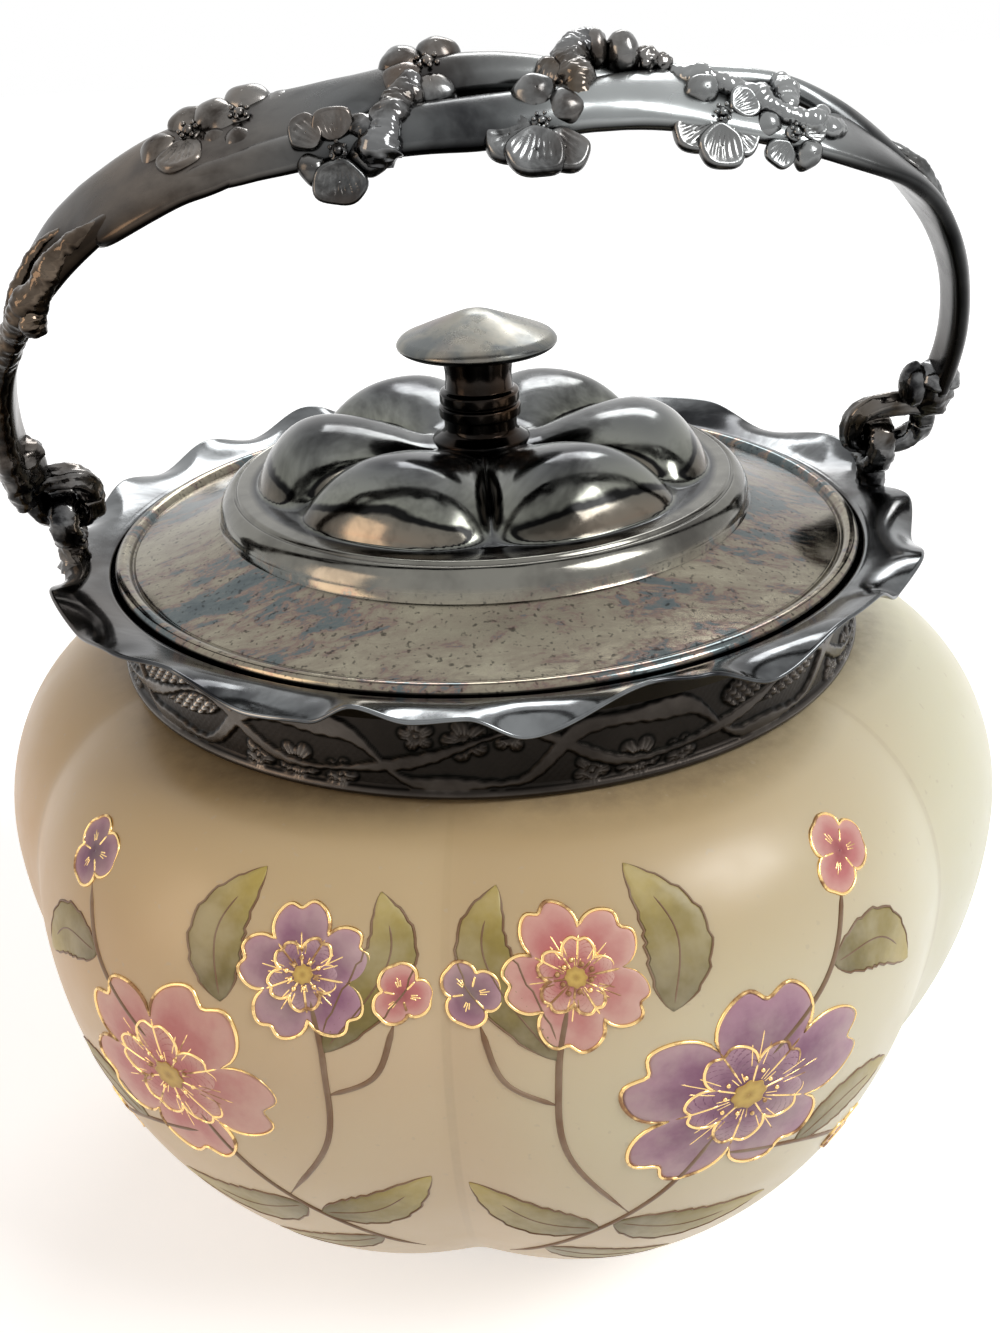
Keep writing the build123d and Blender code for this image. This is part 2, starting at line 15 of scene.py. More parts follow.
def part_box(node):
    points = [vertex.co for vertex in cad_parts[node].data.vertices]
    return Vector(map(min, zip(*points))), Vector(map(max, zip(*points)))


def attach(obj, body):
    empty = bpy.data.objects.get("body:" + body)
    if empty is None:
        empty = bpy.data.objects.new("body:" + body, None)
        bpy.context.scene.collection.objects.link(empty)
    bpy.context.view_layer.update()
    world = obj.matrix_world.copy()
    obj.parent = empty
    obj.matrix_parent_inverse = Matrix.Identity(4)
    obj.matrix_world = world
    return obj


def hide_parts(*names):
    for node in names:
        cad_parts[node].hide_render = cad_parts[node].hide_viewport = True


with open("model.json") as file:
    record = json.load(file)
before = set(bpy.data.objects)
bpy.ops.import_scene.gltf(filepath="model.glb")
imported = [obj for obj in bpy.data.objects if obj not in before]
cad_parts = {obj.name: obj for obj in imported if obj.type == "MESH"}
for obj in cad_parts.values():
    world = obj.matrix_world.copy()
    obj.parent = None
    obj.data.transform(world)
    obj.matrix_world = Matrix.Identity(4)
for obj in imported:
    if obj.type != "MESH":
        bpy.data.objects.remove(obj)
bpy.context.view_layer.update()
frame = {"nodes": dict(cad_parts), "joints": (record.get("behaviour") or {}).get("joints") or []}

MM = 0.001


def box_mm(node):
    """Lowest and highest corner of a CAD node, in millimetres."""
    low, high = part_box(node)
    return np.array(low) / MM, np.array(high) / MM


def new_object(name, data):
    """An object in the scene that shows a mesh, a lamp or a camera."""
    made = bpy.data.objects.new(name, data)
    bpy.context.scene.collection.objects.link(made)
    return made


# ---- Sizes ------------------------------------------------------------------
lobe_count = 6
lobe_turn = math.radians(-13.0)
lobe_axis_radius = 30.0
belly_radius = 97.2
belly_height = 82.0
belly_curve = 93.5
shoulder_radius = 68.8
shoulder_height = 117.2
glass_wall = 5.0
floor_thickness = 7.0
seam_softness = math.radians(1.3)
neck_radius = 64.0
neck_bore_radius = 59.5
core_radius = 30.0
foot_rounding = 0.8
punt_radius = 26.0
punt_depth = 1.2
rim_height = box_mm("glass_bowl")[1][2]

collar_radius = 68.8
band_bottom = box_mm("collar_band")[0][2]
band_top = box_mm("collar_band")[1][2]
sheet = 1.2
seat_height = 133.4
ledge_inner_radius = 61.5
trough_radius = 70.6

lid_base = seat_height + 1.7
lid_radius = 68.4
rim_bead_radius = 1.5
incised_line_radius = 65.1
step_radius = 48.6
step_height = 6.0
gutter_radius = 42.4
gutter_height = 11.4
dome_lobe_turn = math.radians(-5.5)
crown_height = 16.8
crown_radius = 9.5

crown_level = box_mm("knob_stem")[0][2]
knob_top = box_mm("knob_cap")[1][2]
cap_underside = box_mm("knob_cap")[0][2]
cap_radius = box_mm("knob_cap")[1][0]

pivot_height = frame["joints"][0]["pos_m"][2] / MM
ear_radius = 75.5
eye_half_width = 2.6
eye_half_thickness = 1.7
eye_radius = 4.3  # middle of the eye's ring
shackle_wire = 2.2
shackle_half = 5.2
shackle_drop = 9.6
knuckle_height = 5.0
bail_lean = 26.0
bail_half_width = 82.0
bail_shift = 2.0
bail_rise = 75.0
crown_curve = 225.0
leg_height = 18.0


# ---- Camera -----------------------------------------------------------------
# Solved from the rims' circles in the photograph, in metres.
camera_place = (-0.030155, -0.245596, 0.23159)
camera_right = (0.98795, -0.14882, -0.04242)
camera_up = (0.10532, 0.44581, 0.88891)
camera_back = (-0.11338, -0.88267, 0.45612)
camera_lens = 37.81  # millimetres, for a sensor 36 mm wide


def make_camera():
    """The photograph's viewpoint, towards the front and down on the lid."""
    camera = bpy.data.cameras.new("camera")
    camera.sensor_width = 36.0
    camera.lens = camera_lens
    camera.clip_start = 0.01
    camera.clip_end = 20.0
    seat = new_object("camera", camera)
    turn = Matrix((camera_right, camera_up, camera_back)).transposed().to_4x4()
    seat.matrix_world = Matrix.Translation(camera_place) @ turn
    bpy.context.scene.camera = seat


make_camera()


# ---- Meshes -----------------------------------------------------------------
def full_turn(count):
    """Even steps round a circle, in radians."""
    return np.linspace(0, 2 * math.pi, count, endpoint=False)


def squared_off(value, power):
    """A sine or cosine to a power below 1, with its sign kept: it squares a round section."""
    return math.copysign(abs(value) ** power, value)


def grid_faces(rows, columns, wrap_rows=False):
    """Quads over points that are stored row by row, where each row is a closed ring."""
    row_count = rows if wrap_rows else rows - 1
    row = np.repeat(np.arange(row_count), columns)
    column = np.tile(np.arange(columns), row_count)
    next_row = (row + 1) % rows
    next_column = (column + 1) % columns
    corners = (
        row * columns + column,
        row * columns + next_column,
        next_row * columns + next_column,
        next_row * columns + column,
    )
    return np.stack(corners, axis=1)


def make_piece(name, points, faces, material, body, replaced=(), values=None):
    """An object from points in millimetres.

    values are numbers for each point that its material reads by name."""
    mesh = bpy.data.meshes.new(name)
    mesh.from_pydata((np.asarray(points, float) * MM).tolist(), [], [tuple(f) for f in faces])
    mesh.polygons.foreach_set("use_smooth", [True] * len(mesh.polygons))
    for key, numbers in (values or {}).items():
        layer = mesh.attributes.new(key, "FLOAT", "POINT")
        layer.data.foreach_set("value", np.asarray(numbers, np.float32).ravel())
    mesh.materials.append(material)
    mesh.update()
    piece = new_object(name, mesh)
    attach(piece, body)
    if replaced:
        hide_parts(*replaced)
    return piece


def make_turned(name, rings, angles, material, body, replaced, wrap_rows=True, values=None):
    """A piece from rings of (radius, height): each one a number, or a number for each angle."""
    radii, heights = (
        np.array([np.broadcast_to(ring[which], angles.shape) for ring in rings]) for which in (0, 1)
    )
    points = np.stack((radii * np.cos(angles), radii * np.sin(angles), heights), axis=-1)
    faces = grid_faces(len(rings), len(angles), wrap_rows=wrap_rows)
    return make_piece(name, points.reshape(-1, 3), faces, material, body, replaced, values)


def rounded(corners):
    """A profile through corners given as (radius, height, rounding)."""
    steps = 6
    spots = [np.array(corners[0][:2], float)]
    for before, corner, after in zip(corners, corners[1:], corners[2:]):
        middle = np.array(corner[:2], float)
        if corner[2] == 0:
            spots.append(middle)
            continue
        to_before = np.array(before[:2], float) - middle
        to_after = np.array(after[:2], float) - middle
        reach = min(corner[2], 0.48 * np.linalg.norm(to_before), 0.48 * np.linalg.norm(to_after))
        start = middle + to_before / np.linalg.norm(to_before) * reach
        end = middle + to_after / np.linalg.norm(to_after) * reach
        for share in np.linspace(0, 1, steps + 1):
            bend = 2 * share * (1 - share) * middle
            spots.append((1 - share) ** 2 * start + bend + share**2 * end)
    spots.append(np.array(corners[-1][:2], float))
    return np.array(spots)


def lathe(name, corners, material, node):
    """A turned piece of the knob, its profile through corners of (radius, height, rounding)."""
    piece = make_turned(
        name,
        rounded(corners),
        full_turn(128),
        material,
        "lid",
        [node],
        wrap_rows=False,
    )
    close_seams(piece)


def close_seams(piece):
    """Merge the points that fall together, such as those on the axis."""
    work = bmesh.new()
    work.from_mesh(piece.data)
    bmesh.ops.remove_doubles(work, verts=work.verts, dist=1e-6)
    bmesh.ops.recalc_face_normals(work, faces=work.faces)
    work.to_mesh(piece.data)
    work.free()


def glide(spots, count):
    """Rows of numbers, read smoothly between the given spots: a Catmull-Rom curve."""
    spots = np.array(spots, float)
    padded = np.vstack((2 * spots[0] - spots[1], spots, 2 * spots[-1] - spots[-2]))
    places = np.linspace(0, len(spots) - 1, count)
    step = np.minimum(places.astype(int), len(spots) - 2)
    t = (places - step)[:, None]
    a, b, c, d = (padded[step + k] for k in range(4))
    return 0.5 * (
        2 * b + (c - a) * t + (2 * a - 5 * b + 4 * c - d) * t**2 + (3 * b - a - 3 * c + d) * t**3
    )


class Heap:
    """Meshes gathered into one piece."""

    def __init__(self):
        self.points = []
        self.faces = []
        self.reach = []
        self.count = 0

    def add(self, points, faces, reach=None):
        """Add a mesh, with a number for each point that tells its material how far out it lies."""
        self.points.append(np.asarray(points, float))
        self.faces += [tuple(int(i) + self.count for i in face) for face in faces]
        self.reach.append(np.zeros(len(points)) if reach is None else reach)
        self.count += len(points)

    def piece(self, name, material, body, slot, replaced=()):
        """The object of everything that was added."""
        points = np.concatenate(self.points)
        values = {"reach": np.concatenate(self.reach)}
        close_seams(make_piece(name, points, self.faces, material, body, replaced, values))

    def tube(self, sections, reach=None):
        """A closed tube through sections, each a ring of points, with its ends closed."""
        rings, around = len(sections), len(sections[0])
        points = [point for ring in sections for point in ring]
        faces = list(grid_faces(rings, around))
        for end in (0, rings - 1):
            points.append(np.mean(sections[end], axis=0))
            middle = len(points) - 1
            first = end * around
            for i in range(around):
                pair = (first + i, first + (i + 1) % around)
                faces.append((*pair, middle) if end else (*reversed(pair), middle))
        if reach is not None:
            reach = np.concatenate((reach, (reach[0], reach[-1])))
        self.add(points, faces, reach)

    def ball(self, centre, radius, rough, rings, around, squash=(1.0, 1.0, 1.0)):
        """A ball, made uneven by noise and squashed along the three axes."""
        sections = []
        for turn in np.linspace(0.06, math.pi - 0.06, rings):
            ring = []
            for spin in full_turn(around):
                flat = math.sin(turn)
                way = np.array((flat * math.cos(spin), flat * math.sin(spin), math.cos(turn)))
                swell = 1 + rough * noise_at(centre + 3.0 * radius * way, 0.9 / radius)
                ring.append(centre + radius * swell * way * np.array(squash))
            sections.append(ring)
        self.tube(sections)


def noise_at(point, scale):
    """Smooth noise from -1 to 1 at a point in millimetres."""
    return noise.noise(Vector(point * scale))


def soft_max(first, second, blend):
    """The larger of two heights, with the crease between them rounded over blend."""
    gap = np.clip(0.5 + 0.5 * (first - second) / blend, 0, 1)
    return second + gap * (first - second) + blend * gap * (1 - gap)


# ---- Materials --------------------------------------------------------------
class Tree:
    """Short calls for a node tree."""

    def __init__(self, tree):
        self.tree = tree

    def put(self, socket, value):
        """Link a value from another node to a socket, or set the number on it."""
        if isinstance(value, bpy.types.NodeSocket):
            self.tree.links.new(value, socket)
            return
        is_colour = isinstance(value, tuple) and len(value) == 3
        if is_colour and len(socket.default_value) == 4:
            value = (*value, 1.0)
        socket.default_value = value

    def node(self, kind, output=0, **inputs):
        """A node with its inputs set by their place, as i0, i1, or by their name."""
        made = self.tree.nodes.new(kind)
        for name, value in inputs.items():
            key = int(name[1:]) if name[0] == "i" and name[1:].isdigit() else name
            self.put(made.inputs[key], value)
        return made.outputs[output], made

    def maths(self, operation, first, second=0.0):
        """One step of arithmetic on a value or two."""
        out, made = self.node("ShaderNodeMath", i0=first, i1=second)
        made.operation = operation
        return out

    def times(self, first, second):
        """The product of two values."""
        return self.maths("MULTIPLY", first, second)

    def ranged(self, value, start, end, low, high):
        """A value from start to end, spread from low to high and held at both."""
        return self.node("ShaderNodeMapRange", i0=value, i1=start, i2=end, i3=low, i4=high)[0]

    def seen(self):
        """1 for what the camera, gloss or glass looks at, and 0 for plain light."""
        path = self.tree.nodes.new("ShaderNodeLightPath").outputs
        either = self.maths("MAXIMUM", path["Is Camera Ray"], path["Is Glossy Ray"])
        return self.maths("MAXIMUM", either, path["Is Transmission Ray"])


class Paint(Tree):
    """Short calls for the node tree of one material."""

    def __init__(self, name):
        self.material = bpy.data.materials.new(name)
        self.material.use_nodes = True
        super().__init__(self.material.node_tree)
        self.shader = self.tree.nodes["Principled BSDF"]
        self.place = self.tree.nodes.new("ShaderNodeTexCoord").outputs["Object"]

    def set(self, **inputs):
        """Set the shader's own inputs: a name's underscores stand for spaces."""
        for name, value in inputs.items():
            self.put(self.shader.inputs[name.replace("_", " ")], value)

    def axis(self, letter, place=None):
        """One coordinate of the object's own space, in metres."""
        return self.node("ShaderNodeSeparateXYZ", i0=place or self.place)[1].outputs[letter]

    def distance(self, spot, stretch=None):
        """Distance from a spot of the object's own space, in metres."""
        made = self.node("ShaderNodeVectorMath", i0=self.stretched(stretch), i1=spot)[1]
        made.operation = "DISTANCE"
        return made.outputs["Value"]

    def value(self, name):
        """A number that the mesh holds for each point."""
        made = self.tree.nodes.new("ShaderNodeAttribute")
        made.attribute_name = name
        return made.outputs["Fac"]

    def stretched(self, stretch):
        """The object's own space, scaled along each axis."""
        if stretch is None:
            return self.place
        return self.node("ShaderNodeMapping", Vector=self.place, Scale=stretch)[0]

    def noise(self, scale, detail, roughness, stretch=None, distortion=0.0):
        """Noise from 0 to 1 through the object's own space."""
        return self.node(
            "ShaderNodeTexNoise",
            Vector=self.stretched(stretch),
            Scale=scale,
            Detail=detail,
            Roughness=roughness,
            Distortion=distortion,
        )[0]

    def ramp(self, fac, stops, smooth=False):
        """A colour ramp: stops are (position, colour or grey)."""
        out, made = self.node("ShaderNodeValToRGB", Fac=fac)
        ramp = made.color_ramp
        ramp.interpolation = "EASE" if smooth else "LINEAR"
        while len(ramp.elements) < len(stops):
            ramp.elements.new(1.0)
        for element, (position, colour) in zip(ramp.elements, stops):
            element.position = position
            shade = colour if isinstance(colour, tuple) else (colour,) * 3
            element.color = (*shade, 1.0)
        return out

    def mix(self, fac, first, second, mode="MIX"):
        """Two colours mixed, from the first at 0 to the second at 1."""
        made = self.tree.nodes.new("ShaderNodeMix")
        made.data_type = "RGBA"
        made.blend_type = mode
        self.put(made.inputs[0], fac)
        self.put(made.inputs[6], first)
        self.put(made.inputs[7], second)
        return made.outputs[2]

    def darkened(self, colour, by):
        """A colour times a grey or another colour."""
        return self.mix(1.0, colour, by, "MULTIPLY")

    def recess(self, reach):
        """1 on open faces, falling to 0 in corners that are closer than reach millimetres."""
        out, made = self.node("ShaderNodeAmbientOcclusion", output=1, Distance=reach * MM)
        made.samples = 6
        return out

    def facing_up(self, unevenness):
        """0 where a face looks straight down and 1 where it looks up, a little uneven."""
        facing = self.tree.nodes.new("ShaderNodeTexCoord").outputs["Normal"]
        half = self.times(self.maths("ADD", self.axis("Z", facing), 1.0), 0.5)
        shift = self.maths("SUBTRACT", self.noise(60, 4, 0.6), 0.5)
        return self.maths("ADD", half, self.times(shift, unevenness))

    def bump(self, height, depth, strength):
        """Bump of the shader's normal: depth in millimetres."""
        distance = depth * MM
        bumped = self.node("ShaderNodeBump", Height=height, Strength=strength, Distance=distance)
        self.set(Normal=bumped[0])


def silver(
    name,
    dark,
    pale,
    warm,
    shine,
    grain,
    recess_reach,
    underside,
    browned=0.0,
    highlight_spot=None,
    highlight_colour=None,
    grain_depth=0.02,
    shadowed=False,
):
    """Tarnished silver plate, warm in patches, with painted shade below and in tarnished corners.

    browned turns the bail's left shoulder brown, shadowed dims both of its legs, highlight_spot is
    the place in metres of a painted highlight in highlight_colour, and grain_depth is in
    millimetres."""
    paint = Paint(name)
    patches = paint.noise(55 * grain, 5, 0.6, distortion=0.4)
    clouds = paint.noise(17 * grain, 3, 0.5)
    tarnish = paint.ramp(patches, [(0.34, dark), (0.62, pale)], smooth=True)
    warmed = paint.ramp(clouds, [(0.48, 0.0), (0.70, 0.75)], smooth=True)
    tinted = paint.mix(warmed, tarnish, warm)
    if browned:
        far_left = paint.ramp(paint.times(paint.axis("X"), -10.0), [(0.22, 0.0), (0.62, browned)])
        high = paint.ramp(paint.times(paint.axis("Z"), 5.0), [(0.75, 0.0), (0.84, 1.0)])
        brown = paint.ramp(patches, [(0.36, (0.05, 0.036, 0.026)), (0.64, (0.155, 0.115, 0.08))])
        tinted = paint.mix(paint.times(far_left, high), tinted, brown)
    if shadowed:
        aside = paint.times(paint.maths("ABSOLUTE", paint.axis("X")), 10.0)
        dimmed = [(0.50, 1.0), (0.62, 0.36), (0.74, 0.36), (0.80, 0.8), (0.86, 0.5)]
        tinted = paint.darkened(tinted, paint.ramp(aside, dimmed, smooth=True))
    # painted highlight: a pale patch round one place of the bail
    if highlight_spot:
        away = paint.times(paint.distance(highlight_spot), 10.0)
        near = paint.ramp(away, [(0.12, 0.9), (0.34, 0.0)], smooth=True)
        tinted = paint.mix(near, tinted, highlight_colour)
    # tarnish and painted shade: darker in corners
    corner = paint.ramp(paint.recess(recess_reach), [(0.15, 0.22), (0.8, 1.0)])
    colour = paint.darkened(tinted, corner)
    # painted shade: darker on faces that look down
    below = [(0.2, underside), (0.52, 0.75), (0.95, 1.0)]
    below = paint.ramp(paint.facing_up(0.12), below, smooth=True)
    colour = paint.darkened(colour, below)
    smear = paint.ramp(paint.noise(120 * grain, 4, 0.6), [(0.3, shine[0]), (0.75, shine[1])])
    paint.set(Base_Color=colour, Metallic=1.0, Roughness=smear)
    paint.bump(paint.noise(620, 3, 0.6), grain_depth, 0.6)
    return paint.material


def stamped_silver():
    """The collar's plate: black in its sunk ground, worn bright on the stamped relief."""
    paint = Paint("collar_stamped_silver")
    patches = paint.ramp(paint.noise(60, 5, 0.65), [(0.3, 0.7), (0.7, 1.15)])
    # painted shade: the front of the collar is darker, as under the gallery's overhang
    front = paint.times(paint.axis("Y"), -10.0)
    front = paint.ramp(front, [(0.45, 1.0), (0.68, 0.62)], smooth=True)
    tone = paint.times(paint.times(paint.value("tone"), patches), front)
    tarnish = paint.ramp(
        tone,
        [
            (0.03, (0.003, 0.003, 0.0025)),
            (0.33, (0.026, 0.022, 0.019)),
            (0.66, (0.095, 0.084, 0.074)),
            (1.0, (0.32, 0.31, 0.29)),
        ],
    )
    rubbed = paint.ramp(tone, [(0.2, 0.42), (0.7, 0.2)])
    paint.set(Base_Color=tarnish, Metallic=1.0, Roughness=rubbed)
    paint.bump(paint.noise(900, 3, 0.6), 0.03, 0.4)
    return paint.material


def opal_glass():
    """Satin ivory opal glass: painted warm tan light on the left, painted paler light on the right,
    painted shade towards the foot and up under the shoulder, and darker along the seams and just
    under the collar."""
    paint = Paint("opal_glass_ivory")
    x, height = paint.axis("X"), paint.axis("Z")
    mottle_noise = paint.noise(260, 5, 0.7)
    ivory = [(0.36, (0.62, 0.475, 0.30)), (0.66, (0.68, 0.60, 0.405))]
    ground = paint.ramp(paint.noise(11, 2, 0.5), ivory, smooth=True)
    # painted warm light: the left side turns tan
    far_left = paint.ramp(paint.times(x, -10.0), [(0.35, 0.0), (0.92, 1.0)])
    ground = paint.mix(far_left, ground, (0.58, 0.37, 0.165))
    # painted light: the right side is paler and greener, where the light falls
    far_right = paint.ramp(paint.times(x, 10.0), [(0.2, 0.0), (0.75, 1.0)])
    ground = paint.mix(far_right, ground, (0.68, 0.65, 0.475))
    # darker along the seams, in mottled patches
    seam_darkening = paint.ramp(paint.value("seam"), [(0.0, 0.0), (0.75, 0.08), (1.0, 0.6)])
    colour = paint.mix(paint.times(seam_darkening, mottle_noise), ground, (0.36, 0.27, 0.16))
    # painted shade: darker and warmer towards the foot, less so on the right
    uneven = paint.times(paint.noise(9, 2, 0.5), 0.4)
    low = paint.maths("SUBTRACT", paint.times(height, 14.0), uneven)
    low = paint.ramp(low, [(0.0, 0.85), (0.85, 0.0)], smooth=True)
    low_colour = paint.mix(far_right, (0.59, 0.44, 0.25), (0.53, 0.475, 0.32))
    colour = paint.mix(low, colour, low_colour)
    shaded = paint.ramp(paint.times(height, 8.0), [(0.70, 0.0), (0.91, 0.7)], smooth=True)
    unlit = paint.ramp(far_right, [(0.0, 1.0), (0.9, 0.08)])
    colour = paint.mix(paint.times(shaded, unlit), colour, (0.50, 0.37, 0.19))
    # darker just under the collar, in mottled patches
    under_collar = paint.times(paint.maths("SUBTRACT", height, 0.1125), 220.0)
    under_collar = paint.ramp(under_collar, [(0.45, 0.0), (0.85, 0.4), (1.0, 0.95)])
    colour = paint.mix(paint.times(under_collar, mottle_noise), colour, (0.20, 0.15, 0.09))
    specks = paint.ramp(paint.noise(700, 1, 0.4), [(0.73, 0.0), (0.78, 0.35)])
    paint.set(
        Base_Color=paint.mix(specks, colour, (0.50, 0.42, 0.30)),
        Roughness=paint.ramp(paint.noise(90, 3, 0.6), [(0.3, 0.30), (0.7, 0.40)]),
        Subsurface_Weight=0.12,
        Subsurface_Radius=(0.012, 0.009, 0.005),
        Subsurface_Scale=1.0,
        Specular_IOR_Level=0.45,
        Coat_Weight=0.12,
        Coat_Roughness=0.25,
    )
    paint.bump(paint.noise(1600, 2, 0.5), 0.02, 0.25)
    return paint.material


def lid_silver():
    """The lid's metal: a mottled patina of olive, slate blue and copper pink on the plate, and
    inside it the roll's paler ring and the dome, with painted reflections in bands by its slope."""
    paint = Paint("lid_patina")
    wide = paint.noise(32, 6, 0.65, stretch=(0.9, 1.5, 1.0), distortion=0.2)
    fine = paint.noise(150, 8, 0.75, stretch=(0.8, 1.8, 1.0), distortion=0.4)
    blotch = paint.maths("ADD", paint.times(wide, 0.55), paint.times(fine, 0.45))
    patina = paint.ramp(
        blotch,
        [
            (0.38, (0.080, 0.098, 0.104)),
            (0.455, (0.120, 0.140, 0.140)),
            (0.475, (0.200, 0.140, 0.120)),
            (0.50, (0.230, 0.200, 0.155)),
            (0.60, (0.310, 0.285, 0.215)),
            (0.72, (0.190, 0.145, 0.135)),
        ],
    )
    dots = paint.ramp(paint.noise(1100, 2, 0.5), [(0.30, 0.35), (0.40, 1.0)])
    patina = paint.darkened(patina, dots)
    # painted reflections: bands by slope on the dome, bronze, a dark line and a pale band
    painted_reflection_bands = paint.ramp(
        paint.facing_up(0.10),
        [
            (0.50, (0.03, 0.025, 0.022)),
            (0.60, (0.20, 0.115, 0.075)),
            (0.72, (0.17, 0.145, 0.115)),
            (0.785, (0.14, 0.13, 0.11)),
            (0.795, (0.012, 0.012, 0.012)),
            (0.815, (0.012, 0.012, 0.012)),
            (0.825, (0.22, 0.225, 0.195)),
            (0.90, (0.19, 0.195, 0.18)),
            (0.975, (0.12, 0.125, 0.125)),
            (1.00, (0.04, 0.042, 0.046)),
        ],
    )
    cloud = paint.ramp(paint.noise(36, 5, 0.65, distortion=0.5), [(0.40, 0.28), (0.56, 1.0)])
    painted_reflection_bands = paint.darkened(painted_reflection_bands, cloud)
    ring_tones = [(0.35, (0.082, 0.078, 0.070)), (0.6, (0.195, 0.190, 0.168))]
    ring_metal = paint.ramp(paint.noise(40, 5, 0.6), ring_tones, smooth=True)
    from_axis = paint.times(paint.distance((0.0, 0.0, 0.0), stretch=(1.0, 1.0, 0.0)), 10.0)
    dome = paint.mix(paint.ramp(from_axis, [(0.418, 0.0), (0.43, 1.0)]), painted_reflection_bands, ring_metal)
    colour = paint.mix(paint.ramp(from_axis, [(0.484, 0.0), (0.49, 1.0)]), dome, patina)
    # tarnish and painted shade: darker in corners, such as the line under the roll
    corner = paint.ramp(paint.recess(2.0), [(0.2, 0.25), (0.9, 1.0)])
    paint.set(
        Base_Color=paint.darkened(colour, corner),
        Metallic=1.0,
        Roughness=paint.ramp(fine, [(0.35, 0.08), (0.65, 0.24)]),
    )
    paint.bump(paint.noise(500, 3, 0.6), 0.02, 0.3)
    return paint.material


def plain_metal(name, colour, roughness):
    """Turned metal for the small fittings inside the lid."""
    paint = Paint(name)
    worn = paint.ramp(paint.noise(300, 4, 0.6), [(0.4, 0.0), (0.7, 0.6)])
    worn_colour = tuple(0.5 * channel for channel in colour)
    paint.set(
        Base_Color=paint.mix(worn, colour, worn_colour), Metallic=1.0, Roughness=roughness
    )
    paint.bump(paint.noise(2500, 2, 0.5, stretch=(1, 1, 6)), 0.02, 0.4)
    return paint.material


def plaster():
    """The setting between glass and collar."""
    paint = Paint("setting_plaster")
    grain = paint.noise(400, 5, 0.65)
    paint.set(
        Base_Color=paint.ramp(grain, [(0.3, (0.60, 0.56, 0.47)), (0.7, (0.80, 0.77, 0.69))]),
        Roughness=0.9,
    )
    paint.bump(grain, 0.15, 0.6)
    return paint.material


def enamel(name, middle, body, rim, mottle=0.25):
    """Painted enamel on the glass: colour from a shape's middle out to its rim."""
    paint = Paint(name)
    streak = paint.noise(420, 4, 0.6)
    outward = paint.maths("ADD", paint.value("reach"), paint.times(streak, 0.3))
    outward = paint.maths("SUBTRACT", outward, 0.15)
    colour = paint.ramp(outward, [(0.08, middle), (0.5, body), (0.98, rim)], smooth=True)
    wash = paint.ramp(paint.noise(90, 4, 0.6), [(0.35, 0.0), (0.7, mottle)], smooth=True)
    paint.set(
        Base_Color=paint.mix(wash, colour, (0.78, 0.70, 0.55)),
        Roughness=0.42,
        Specular_IOR_Level=0.4,
    )
    paint.bump(paint.noise(700, 3, 0.6), 0.03, 0.4)
    return paint.material


def gilding():
    """Raised gold lines, worn through to brown in places."""
    paint = Paint("worn_gilding")
    worn = paint.ramp(paint.noise(170, 4, 0.65), [(0.52, 0.0), (0.62, 1.0)])
    paint.set(
        Base_Color=paint.mix(worn, (0.88, 0.62, 0.27), (0.30, 0.15, 0.06)),
        Metallic=paint.ramp(worn, [(0.2, 1.0), (0.8, 0.3)]),
        Roughness=paint.ramp(worn, [(0.2, 0.24), (0.8, 0.55)]),
    )
    paint.bump(paint.noise(2500, 2, 0.5), 0.02, 0.4)
    return paint.material


glass = opal_glass()
lid_metal = lid_silver()
collar_metal = stamped_silver()
gallery_metal = silver(
    "gallery_silver",
    dark=(0.02, 0.021, 0.023),
    pale=(0.21, 0.22, 0.225),
    warm=(0.15, 0.13, 0.115),
    shine=(0.10, 0.2),
    grain=0.6,
    recess_reach=1.4,
    underside=0.10,
)
cap_metal = silver(
    "knob_silver",
    dark=(0.13, 0.14, 0.14),
    pale=(0.25, 0.24, 0.205),
    warm=(0.24, 0.165, 0.145),
    shine=(0.22, 0.40),
    grain=2.4,
    recess_reach=2.4,
    underside=0.03,
)
# warm tarnish patches on the near-black stem that also stand in for painted warm glints
stem_metal = silver(
    "knob_stem_silver",
    dark=(0.004, 0.004, 0.004),
    pale=(0.018, 0.017, 0.016),
    warm=(0.12, 0.06, 0.025),
    shine=(0.08, 0.2),
    grain=1.6,
    recess_reach=2.4,
    underside=0.12,
)
band_metal = silver(
    "bail_silver",
    dark=(0.03, 0.031, 0.033),
    pale=(0.115, 0.12, 0.122),
    warm=(0.085, 0.072, 0.06),
    shine=(0.16, 0.34),
    grain=0.9,
    recess_reach=2.4,
    underside=0.04,
    browned=0.95,
    highlight_spot=(0.028, -0.036, 0.215),
    highlight_colour=(0.38, 0.40, 0.40),
    shadowed=True,
)
bark_metal = silver(
    "bark_silver",
    dark=(0.015, 0.015, 0.016),
    pale=(0.19, 0.193, 0.195),
    warm=(0.11, 0.085, 0.06),
    shine=(0.07, 0.22),
    grain=2.8,
    recess_reach=1.8,
    underside=0.08,
    browned=0.9,
    highlight_spot=(0.046, -0.036, 0.212),
    highlight_colour=(0.30, 0.31, 0.31),
    grain_depth=0.13,
)
spray_metal = silver(
    "spray_silver",
    dark=(0.04, 0.04, 0.04),
    pale=(0.22, 0.225, 0.225),
    warm=(0.13, 0.095, 0.07),
    shine=(0.14, 0.34),
    grain=2.4,
    recess_reach=0.9,
    underside=0.12,
    browned=0.95,
    highlight_spot=(0.050, -0.040, 0.210),
    highlight_colour=(0.25, 0.26, 0.26),
    grain_depth=0.06,
)
fitting_metal = plain_metal("fitting_brass", (0.62, 0.50, 0.28), 0.34)
cement = plaster()
stem_brown = (0.17, 0.085, 0.035)
pink_paint = enamel("pink_enamel", (0.33, 0.055, 0.065), (0.52, 0.17, 0.165), (0.66, 0.36, 0.31))
mauve_paint = enamel("mauve_enamel", (0.10, 0.025, 0.07), (0.22, 0.085, 0.155), (0.42, 0.235, 0.30))
